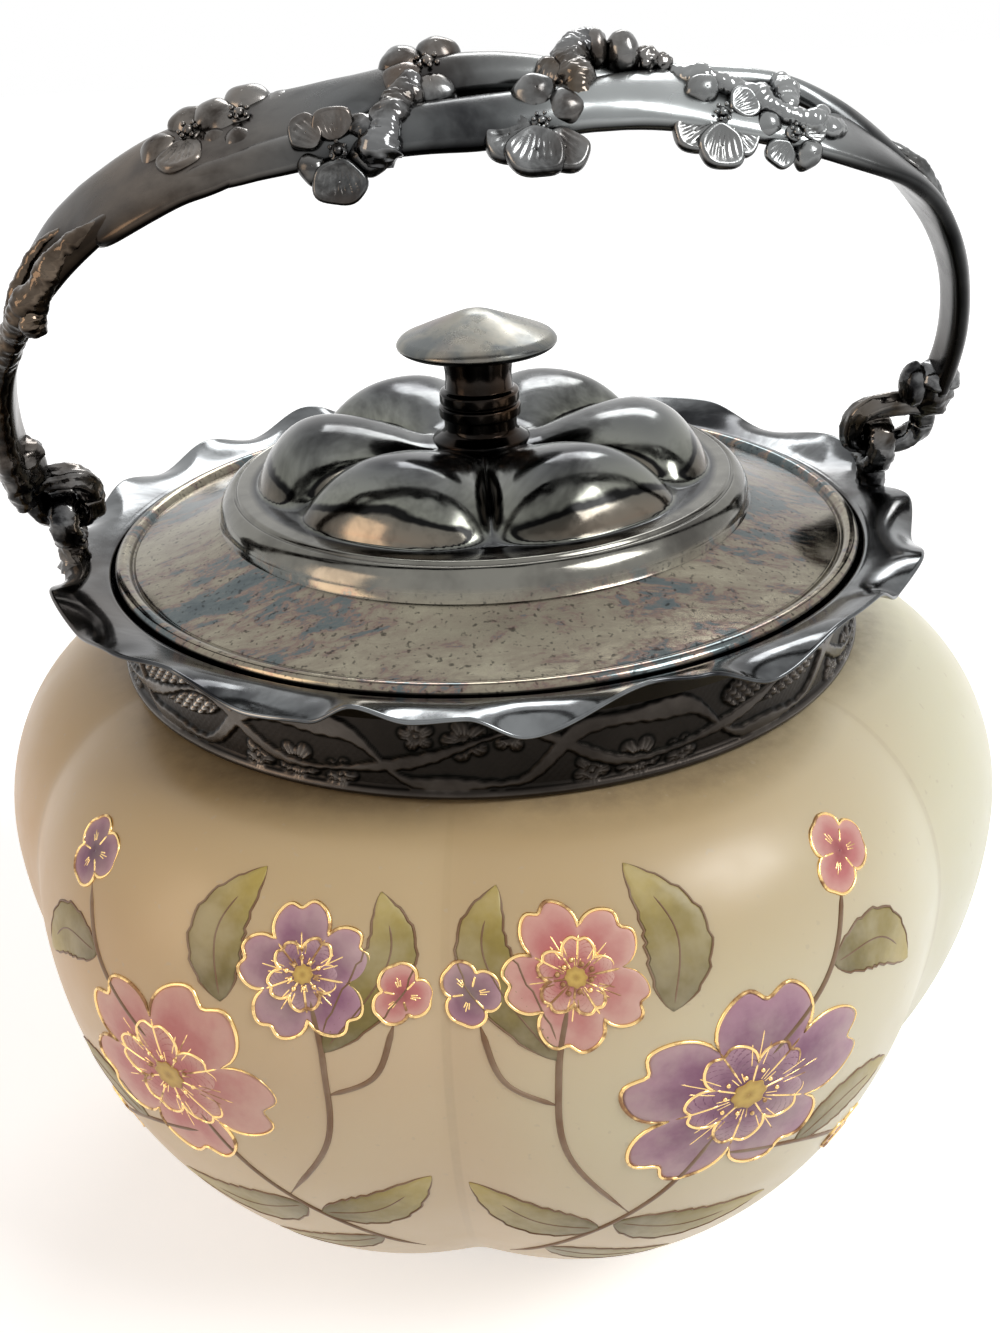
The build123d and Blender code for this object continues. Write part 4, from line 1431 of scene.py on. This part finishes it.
def petal(heap, root, way, facing, reach, length, width, cup, tilt, seed):
    """A thick cast petal, its middle lying reach out from root: a ribbed cup, or a dome below 0."""
    tilt = math.radians(tilt)
    side = np.cross(facing, way)
    ahead = way * math.cos(tilt) + facing * math.sin(tilt)
    up = facing * math.cos(tilt) - way * math.sin(tilt)
    half = 0.5 * min(length, width)
    spin = full_turn(petal_columns)
    wavy = 1 + 0.05 * np.sin(2 * spin + seed) + 0.035 * np.sin(5 * spin + 2.3 * seed)
    inside = np.linspace(0.02, 0.97, petal_rings)
    share = np.concatenate((inside, [1.0, 0.99], np.linspace(0.9, 0.02, 5)))[:, None]
    forward = share * wavy * 0.5 * length * np.cos(spin)
    across = share * wavy * 0.5 * width * np.sin(spin) * (1 + 0.16 * np.cos(spin))
    fan = np.arctan2(across, forward + reach + 0.2 * length)
    level = cup * half * (share**2 - 0.5) * np.ones(petal_columns)
    if cup > 0:
        window = np.clip(1 - np.abs(share - 0.45) / 0.44, 0, 1)
        level = level + 0.05 * half * np.cos(rib_pitch * fan) * window
    level = level - 0.26 * half * np.clip((share - 0.78) / 0.22, 0, 1) ** 2.4
    depth = np.repeat((0.0, 0.3, 0.8, 1.0), (petal_rings, 1, 1, 5))[:, None]
    level = level - petal_thickness * half * depth
    points = (
        root
        + way * reach
        + forward[..., None] * ahead
        + across[..., None] * side
        + level[..., None] * up
    )
    heap.add(points.reshape(-1, 3), grid_faces(len(share), petal_columns, wrap_rows=True))


def blossom(heap, spot, petals, heart, seed):
    """A cast blossom at (angle, front, lift, tilt), on a stalk, with a knot of stamens.

    Petals are (turn, reach, length, width, cup, tilt, rise): turn 0 points along the bail to the
    right and 90 to the rear, and rise lifts a petal over its neighbours. heart is the size of the
    stamens."""
    angle, front, lift, tilt = spot
    place, along, outward = arch_frame(angle, front, lift)
    tilt = math.radians(tilt)
    facing = outward * math.cos(tilt) + bail_front * math.sin(tilt)
    other = np.cross(facing, along)
    for index, (turn, reach, length, width, cup, pitch, rise) in enumerate(petals):
        turn = math.radians(turn)
        way = along * math.cos(turn) + other * math.sin(turn)
        root = place + facing * rise
        petal(heap, root, way, facing, reach, length, width, cup, pitch, seed + index)
    foot = place - outward * (lift + 0.5) - bail_front * 0.12 * front
    bark(heap, straight(foot, place + facing * 0.3, 6), np.full(6, 1.7 * heart))
    heap.ball(place + facing * (0.5 + 0.3 * heart), 0.85 * heart, 0.3, 8, 14)
    for step in range(6):
        turn = 2 * math.pi * step / 6 + seed
        way = along * math.cos(turn) + other * math.sin(turn)
        stamen = place + facing * (0.9 + 0.2 * (step % 2)) + way * 1.45 * heart
        heap.ball(stamen, 0.42 * heart, 0.3, 6, 8)


# ---- Bail: pierced band -----------------------------------------------------
# Strands as (angle, front, lift, half width, half thickness, twist).
thin = 1.45  # half thickness of the plain sheet
rear_strand = [
    (-94, 0.0, 0, 4.3, 1.7, 0), (-84, 0.1, 0, 4.7, 1.7, 0), (-72, 0.2, 0, 5.6, 1.6, 0),
    (-62, -0.2, 0, 6.2, 1.5, -2), (-55, -1.8, 0, 5.8, thin, -3), (-47, -4.2, 0, 4.5, thin, -3),
    (-41, -2.6, 0, 6.0, thin, -2), (-35, 0.4, 0, 8.7, thin, -2), (-24, 0.7, 0, 9.2, thin, 0),
    (-15, 0.6, 0.1, 9.0, thin, 0), (-10, 0.0, 0.3, 8.4, 1.6, 0), (-7, -1.6, 0.6, 6.9, 1.9, 0),
    (-4.6, -3.4, 1.0, 5.2, 2.3, 3), (-2.4, -4.7, 1.3, 4.5, 2.6, 6), (-0.6, -5.0, 1.3, 4.2, 2.6, 10),
    (1.0, -4.6, 1.0, 3.7, 2.5, 12), (2.8, -4.0, 0.5, 3.2, 2.2, 10), (4.8, -4.6, 0.2, 2.9, 1.9, 6),
    (7, -6.2, 0.1, 2.5, 1.7, 2), (10, -7.0, 0.1, 2.0, 1.6, 0), (18, -7.2, 0.1, 1.9, 1.6, 0),
    (25, -6.4, 0.0, 2.6, 1.5, 0), (33, -4.6, 0.0, 3.6, thin, 4), (42, -2.4, 0.0, 3.0, thin, 10),
]
front_strand = [
    (-31, 4.2, -0.9, 1.6, 0.6, 0), (-25, 5.2, -0.4, 2.3, 1.0, 0), (-19, 6.0, -0.1, 2.8, 1.3, 0),
    (-13, 6.4, -0.1, 3.2, thin, 0), (-9, 6.3, 0.1, 3.5, 1.7, 0),
    (-6, 6.0, 0.4, 3.8, 2.2, 0), (-3.6, 5.8, 0.6, 4.3, 2.5, -2), (-1.4, 5.9, 0.7, 4.6, 2.6, -4),
    (0.8, 5.2, 0.9, 4.6, 2.6, -2), (2.8, 3.6, 1.1, 4.8, 2.6, 0), (4.6, 2.2, 1.2, 5.9, 2.5, 0),
    (6.4, 1.0, 0.9, 6.8, 2.2, 0), (8.2, 2.4, 0.5, 6.2, 1.9, 0), (11, 4.2, 0.2, 4.8, 1.7, 0),
    (16, 4.8, 0, 4.4, 1.6, 0), (21, 4.4, 0, 5.0, 1.5, 0), (26, 2.6, 0, 6.8, 1.5, 2),
    (33, 0.8, 0, 8.2, 1.5, 8), (41, 0.2, 0, 7.2, 1.6, 14), (50, 0.0, 0, 5.8, 1.7, 16),
    (60, 0.0, 0, 4.9, 1.8, 10), (72, -0.1, 0, 4.4, 1.8, 4), (84, 0.0, 0, 4.1, 1.8, 0),
    (94, 0.0, 0, 4.0, 1.8, 0),
]
left_slot_strand = [
    (-66, 3.4, 0.0, 1.6, 1.3, 0), (-58, 5.0, 0.3, 2.4, 1.6, 0), (-50, 6.6, 0.5, 2.7, 1.8, 0),
    (-43, 6.4, 0.4, 2.5, 1.7, 0), (-36, 5.6, 0.0, 2.2, 1.4, 0), (-30, 4.8, -0.5, 1.7, 0.9, 0),
    (-25, 4.0, -1.1, 1.2, 0.5, 0),
]
right_strut = [
    (14.6, -6.6, 0.3, 1.5, 1.4, 0), (15.4, -3.6, 0.9, 1.7, 1.8, 0), (15.8, 0.4, 0.5, 1.8, 1.5, 0),
]


def make_band():
    """The pierced band: a wide strand at each shoulder that parts into two over the crown."""
    heap = Heap()
    strand(heap, rear_strand, 260, 28)
    strand(heap, front_strand, 260, 28)
    strand(heap, left_slot_strand, 50)
    strand(heap, right_strut, 18)
    heap.piece("bail_band_openwork", band_metal, "bail", "bail_silver", ["bail_band"])


# ---- Bail: cast sprays ------------------------------------------------------
# Branches as their radius, swollen knots and arms. An arm runs through places of the band
# as (angle, front, lift, share of the radius).
branches = {
    "branch_left_leg": (
        1.75,
        ((0.08, 0.3), (0.40, 0.2), (0.62, 0.45), (0.75, 0.3), (0.88, 0.25)),
        [
            [(-101, 3.4, 1.0, 1.1), (-92, 3.8, 1.0, 1.1), (-80, 4.2, 0.8, 0.9),
             (-69, 5.0, 0.8, 0.9), (-61, 6.8, 1.2, 1.1), (-55, 8.6, 1.5, 1.15),
             (-49, 8.8, 1.7, 1.0), (-44, 7.4, 2.0, 0.85), (-39, 6.4, 1.8, 0.7),
             (-35, 5.6, 1.0, 0.35)],
            [(-62, 4.4, 1.0, 0.7), (-58, 1.6, 1.6, 0.8), (-53, -1.6, 1.6, 0.7),
             (-48, -2.4, 1.4, 0.5), (-44, -1.4, 1.0, 0.3)],
            [(-51, 8.8, 1.6, 1.2), (-53, 10.4, 0.4, 1.2), (-54.5, 10.6, -0.8, 0.85)],
        ],
    ),
    "branch_left": (
        2.5,
        ((0.2, 0.15), (0.5, 0.12), (0.8, 0.15)),
        [
            [(-5.0, 10.8, -0.6, 0.9), (-4.9, 10.0, 1.2, 1.15), (-4.5, 7.2, 2.6, 1.05),
             (-4.1, 4.0, 3.0, 0.95), (-3.7, 1.2, 3.2, 0.95), (-3.4, -1.6, 3.4, 0.9)],
            [(-4.8, 9.6, 1.6, 0.7), (-5.3, 7.0, 2.6, 0.8), (-6.0, 5.4, 2.6, 0.55)],
        ],
    ),
    "branch_crown": (
        2.4,
        ((0.3, 0.12), (0.62, 0.15)),
        [
            [(2.3, 6.4, 1.6, 0.7), (2.4, 3.6, 3.0, 0.95), (2.45, 0.6, 3.9, 1.05),
             (2.4, -2.4, 4.0, 1.1), (2.6, -5.0, 4.6, 1.05), (3.1, -6.8, 4.9, 0.95),
             (3.7, -6.8, 4.4, 0.7)],
            [(2.2, 1.4, 3.2, 0.8), (1.6, -1.6, 3.2, 0.9), (1.5, -4.2, 3.2, 0.6)],
        ],
    ),
    "branch_right": (
        1.55,
        ((0.15, 0.2), (0.4, 0.25), (0.7, 0.3)),
        [
            [(6.3, -3.2, 2.4, 0.9), (6.9, -1.4, 3.0, 1.2), (7.7, -0.2, 3.0, 1.15),
             (8.6, 1.4, 2.8, 1.2), (10.2, 3.4, 2.5, 1.2), (13.0, 5.0, 2.3, 1.1),
             (16.2, 5.6, 2.2, 1.05), (19.6, 5.6, 2.0, 1.1), (22.6, 4.2, 1.8, 1.0),
             (24.6, 2.4, 1.2, 0.6)],
            [(9.0, 2.6, 2.4, 0.8), (10.6, 0.0, 2.4, 1.0), (12.4, -0.8, 1.8, 0.7)],
            [(13.4, 4.4, 2.2, 0.9), (14.4, 1.6, 2.6, 1.1), (14.9, -1.4, 2.8, 1.3),
             (14.8, -4.0, 2.4, 1.0)],
            [(18.6, 4.8, 2.0, 0.8), (20.6, 1.4, 2.0, 0.9), (22.4, -0.6, 1.2, 0.6)],
        ],
    ),
}
# Cast blossoms: place, petals and size of the heart.
blossoms = {
    "blossom_crown_front": (
        (0.8, 9.6, 2.6, 22),
        [(194, 4.7, 7.2, 7.6, 0.16, -6, 0.0), (308, 4.9, 6.6, 6.8, 0.18, -4, 0.2),
         (40, 4.6, 5.8, 6.0, -0.5, 6, 0.3), (92, 4.9, 6.0, 6.4, -0.6, 12, 0.8),
         (254, 4.6, 7.6, 8.2, 0.2, -6, 1.0)],
        0.75,
    ),
    "blossom_crown_rear": (
        (-2.7, -4.6, 4.0, 4),
        [(0, 4.2, 6.0, 5.6, 0.16, -6, 0.0), (66, 4.3, 6.4, 6.6, -0.55, 0, 0.5),
         (270, 4.4, 6.2, 7.0, -0.5, -8, 0.2), (146, 4.3, 6.8, 6.6, -0.5, -4, 0.6),
         (208, 4.5, 6.8, 6.0, -0.45, -8, 0.9)],
        1.0,
    ),
    "blossom_left_upper": (
        (-10.8, -3.2, 1.7, 6),
        [(338, 5.4, 9.4, 8.0, -0.3, -6, -0.5), (78, 4.4, 6.8, 7.2, -0.5, 0, 0.3),
         (22, 6.4, 6.6, 5.0, -0.4, -8, -0.3), (150, 4.2, 6.6, 6.6, -0.5, 4, 0.7),
         (262, 4.4, 5.8, 5.6, -0.7, 4, 0.5)],
        0.9,
    ),
    "blossom_left_lower": (
        (-18.6, -3.0, 1.5, 6),
        [(14, 4.8, 6.6, 6.8, -0.5, 2, 0.3), (95, 4.0, 6.0, 6.6, -0.5, 0, 0.2),
         (178, 5.4, 6.4, 6.8, -0.55, -4, 0.3), (325, 4.0, 4.8, 4.8, -0.6, 0, 0.2),
         (250, 4.4, 7.0, 7.4, 0.09, 8, 1.1)],
        0.95,
    ),
    "blossom_left_edge": (
        (-6.3, 10.0, 1.8, 42),
        [(350, 4.0, 5.8, 5.8, -0.55, 4, 0.4), (92, 3.8, 4.4, 6.2, 0.16, 14, 0.2),
         (140, 5.2, 5.0, 5.0, 0.14, 0, 0.2), (200, 4.0, 4.2, 4.6, -0.6, 0, 0.0),
         (262, 4.0, 6.6, 7.4, 0.34, -14, 0.3)],
        0.8,
    ),
    "blossom_right": (
        (7.6, 6.4, 2.2, 32),
        [(212, 4.8, 6.0, 6.2, 0.2, -4, 0.2), (318, 4.6, 5.0, 5.4, 0.18, -6, 0.1),
         (30, 4.2, 4.8, 5.0, 0.16, 0, 0.3), (120, 4.4, 5.0, 5.2, -0.5, 8, 0.2),
         (266, 4.8, 6.6, 7.0, 0.23, -8, 0.8)],
        0.8,
    ),
    "blossom_right_lower": (
        (14.0, 8.2, 1.6, 44),
        [(240, 3.6, 4.2, 4.6, 0.18, -6, 0.3), (320, 3.8, 4.4, 4.8, -0.6, -4, 0.4),
         (20, 3.6, 4.0, 4.2, 0.14, 0, 0.1), (170, 3.8, 4.0, 4.2, -0.5, 0, 0.0)],
        0.7,
    ),
}


def cast(heap, node, material):
    """One piece of the sprays, in the place of its CAD node."""
    heap.piece(f"{node}_cast", material, "bail", "spray_silver", [node])


def make_sprays():
    """Cast branches, blossoms, buds and leaves, one piece for each CAD node."""
    for node, (radius, knots, arms) in branches.items():
        heap = Heap()
        for arm in arms:
            bark_on(heap, arm, radius, 20 * len(arm), knots if arm is arms[0] else ())
        cast(heap, node, bark_metal)
    for index, (node, (spot, petals, heart)) in enumerate(blossoms.items()):
        heap = Heap()
        blossom(heap, spot, petals, heart, 1.7 * index)
        cast(heap, node, spray_metal)
    make_buds()
    make_leaf_spray()


def make_buds():
    """Two smooth buds that lean on each other over the crown, with rough grains beyond them."""
    heap = Heap()
    for spot, radius, rough, squash in (
        ((3.4, -5.6, 4.4), 2.4, 0.06, (0.8, 1.0, 1.3)),
        ((4.4, -5.3, 4.2), 2.7, 0.06, (0.95, 1.05, 1.2)),
        ((5.3, -4.8, 3.6), 1.9, 0.30, (1.1, 1.0, 1.0)),
        ((5.9, -4.6, 3.2), 1.5, 0.30, (1.0, 1.0, 1.0)),
    ):
        heap.ball(arch_frame(*spot)[0], radius, rough, 20, 30, squash)
    grains = (((5.6, -6.0, 3.6), 0.9), ((5.2, -3.4, 3.9), 0.9), ((6.2, -5.2, 3.3), 0.8))
    for spot, radius in grains:
        heap.ball(arch_frame(*spot)[0], radius, 0.2, 8, 12)
    cast(heap, "buds_crown", spray_metal)


def make_leaf_spray():
    """Small overlapping leaves down the right shoulder, over a twig."""
    heap = Heap()
    for step in range(11):
        angle = 39.5 + 1.5 * step
        place, along, outward = arch_frame(angle, -3.4 + 1.0 * (step % 3), 1.9)
        turn = math.radians(60 * math.sin(2.1 * step))
        way = along * math.cos(turn) + bail_front * math.sin(turn)
        petal(heap, place, way, outward, 0.6, 4.6, 2.8, 0.4, 14, 0.9 * step)
    twig = [(38, -3.6, 1.0, 0.6), (45, -2.8, 2.0, 1.0), (52, -2.4, 1.8, 1.0), (58, -2.0, 1.0, 0.5)]
    bark_on(heap, twig, 1.3, 50)
    cast(heap, "leaf_spray", spray_metal)


# ---- Bail: looped ends, and the ears that they hang in ----------------------
def make_shackle(name, side):
    """The bark-like loop that hangs in an ear, and the knuckle over the band's leg."""
    heap = Heap()
    inner = side * (ear_radius - shackle_half)
    outer = side * bail_half_width + bail_shift
    middle, half = (inner + outer) / 2, abs(outer - inner) / 2
    hinge = np.array((0.0, 0.0, pivot_height))
    path = []
    for turn in np.linspace(0, 2 * math.pi, 72):
        c, s = math.cos(turn), math.sin(turn)
        x = middle + squared_off(c, 0.7) * half
        rise = shackle_drop / 2 * (1 + squared_off(s, 0.7))
        path.append(hinge + bail_across * x + bail_up * rise)
    bark(heap, path, np.full(len(path), shackle_wire), rough=0.10, ridges=0.10)
    foot = hinge + bail_across * outer + bail_up * (shackle_drop - 2)
    top = foot + bail_up * (knuckle_height + 5)
    reach = np.linspace(0, 1, 26)
    radii = np.interp(reach, (0, 0.15, 0.5, 0.72, 0.78, 1.0), (2.2, 3.4, 3.9, 3.2, 4.2, 3.0))
    bark(heap, straight(foot, top, len(reach)), radii, rough=0.12, ridges=0.05)
    if name == "right":
        knob = hinge + bail_across * (outer - 4.2) + bail_up * (shackle_drop + 4.5)
        heap.ball(knob, 3.0, 0.12, 12, 18, (0.9, 1.0, 1.4))
    node = f"bail_shackle_{name}"
    heap.piece(f"bail_loop_{name}", bark_metal, "bail", "spray_silver", [node])


def make_ear(name, side):
    """A bark-like ear: a stout post that curls over into the eye the bail hangs in."""
    heap = Heap()
    centre = np.array((side * ear_radius, 0.0, pivot_height))
    sections = []
    for turn in np.linspace(-0.5 * math.pi, 1.5 * math.pi, 60):
        way = np.array((0.0, math.cos(turn), math.sin(turn)))
        ring = []
        for spin in full_turn(18):
            ridge = 1 + 0.07 * math.sin(9 * turn + 3 * spin) + 0.05 * math.sin(23 * turn)
            x = squared_off(math.cos(spin), 0.7) * eye_half_width * ridge
            out = eye_radius + math.sin(spin) * eye_half_thickness * ridge
            ring.append(centre + bail_across * x + way * out)
        sections.append(ring)
    heap.tube(sections)
    foot = np.array((centre[0], 0.0, seat_height + 1.0))
    top = centre - np.array((0, 0, eye_radius))
    reach = np.linspace(0, 1, 24)
    radii = np.interp(reach, (0, 0.25, 0.7, 1.0), (3.6, 2.7, 2.6, 2.4))
    bark(heap, straight(foot, top, len(reach)), radii, rough=0.12, ridges=0.08)
    heap.piece(f"ear_{name}_bark", bark_metal, "jar", "spray_silver", [f"ear_{name}"])


make_band()
make_sprays()
for name, side in (("left", -1), ("right", 1)):
    make_shackle(name, side)
    make_ear(name, side)


# ---- CAD nodes that stay ----------------------------------------------------
kept_nodes = {
    "setting_cement": cement,
    "lid_skirt": lid_metal,
    "knob_stud": fitting_metal,
    "knob_washer": fitting_metal,
    "knob_nut": fitting_metal,
}
for node, material in kept_nodes.items():
    materials = frame["nodes"][node].data.materials
    materials.clear()
    materials.append(material)


# ---- Studio -----------------------------------------------------------------
# The floor's own light, for what looks at it: near the jar and far from it.
near_glow = 0.54
far_glow = 0.78
glow_start = 0.35  # metres from the jar's axis
glow_end = 0.9
room_light = 0.28  # of the world, for plain light


def make_floor():
    """A plain pale floor that shows white where it is lit and keeps the jar's shadow."""
    half = 3.0
    corners = [(-half, -half, 0), (half, -half, 0), (half, half, 0), (-half, half, 0)]
    mesh = bpy.data.meshes.new("floor")
    mesh.from_pydata(corners, [], [(0, 1, 2, 3)])
    floor = new_object("floor", mesh)
    paint = Paint("floor_white")
    paint.set(Base_Color=(0.86, 0.86, 0.86), Roughness=0.9, Specular_IOR_Level=0.1)
    away = paint.distance((0.0, 0.0, 0.0))
    glow = paint.ranged(away, glow_start, glow_end, near_glow, far_glow)
    paint.set(Emission_Color=(1.0, 1.0, 1.0), Emission_Strength=paint.times(paint.seen(), glow))
    mesh.materials.append(paint.material)


def make_world():
    """A pale room: even light, white where the camera, gloss or glass looks past the floor."""
    world = bpy.data.worlds.new("studio")
    bpy.context.scene.world = world
    world.use_nodes = True
    tree = Tree(world.node_tree)
    background = world.node_tree.nodes["Background"].inputs
    tree.put(background["Color"], (1.0, 1.0, 1.0))
    tree.put(background["Strength"], tree.ranged(tree.seen(), 0.0, 1.0, room_light, 1.0))


def make_lamp(name, place, size, power, colour=(1.0, 1.0, 1.0)):
    """A soft square lamp, size in metres, aimed at the jar's middle."""
    lamp = bpy.data.lights.new(name, "AREA")
    lamp.shape = "RECTANGLE"
    lamp.size, lamp.size_y = size
    lamp.energy = power
    lamp.color = colour
    holder = new_object(name, lamp)
    holder.location = place
    aim = Vector((0, 0, 0.1)) - Vector(place)
    holder.rotation_euler = aim.to_track_quat("-Z", "Y").to_euler()


make_floor()
make_world()
make_lamp("key_lamp", (0.66, -0.50, 0.90), (0.45, 0.45), 8.0)
make_lamp("left_lamp", (-0.85, -0.30, 0.40), (0.35, 0.6), 2.2, (1.0, 0.74, 0.52))
make_lamp("back_lamp", (0.25, 0.9, 0.9), (0.6, 0.3), 4.0)

bpy.context.scene.view_settings.view_transform = "Standard"
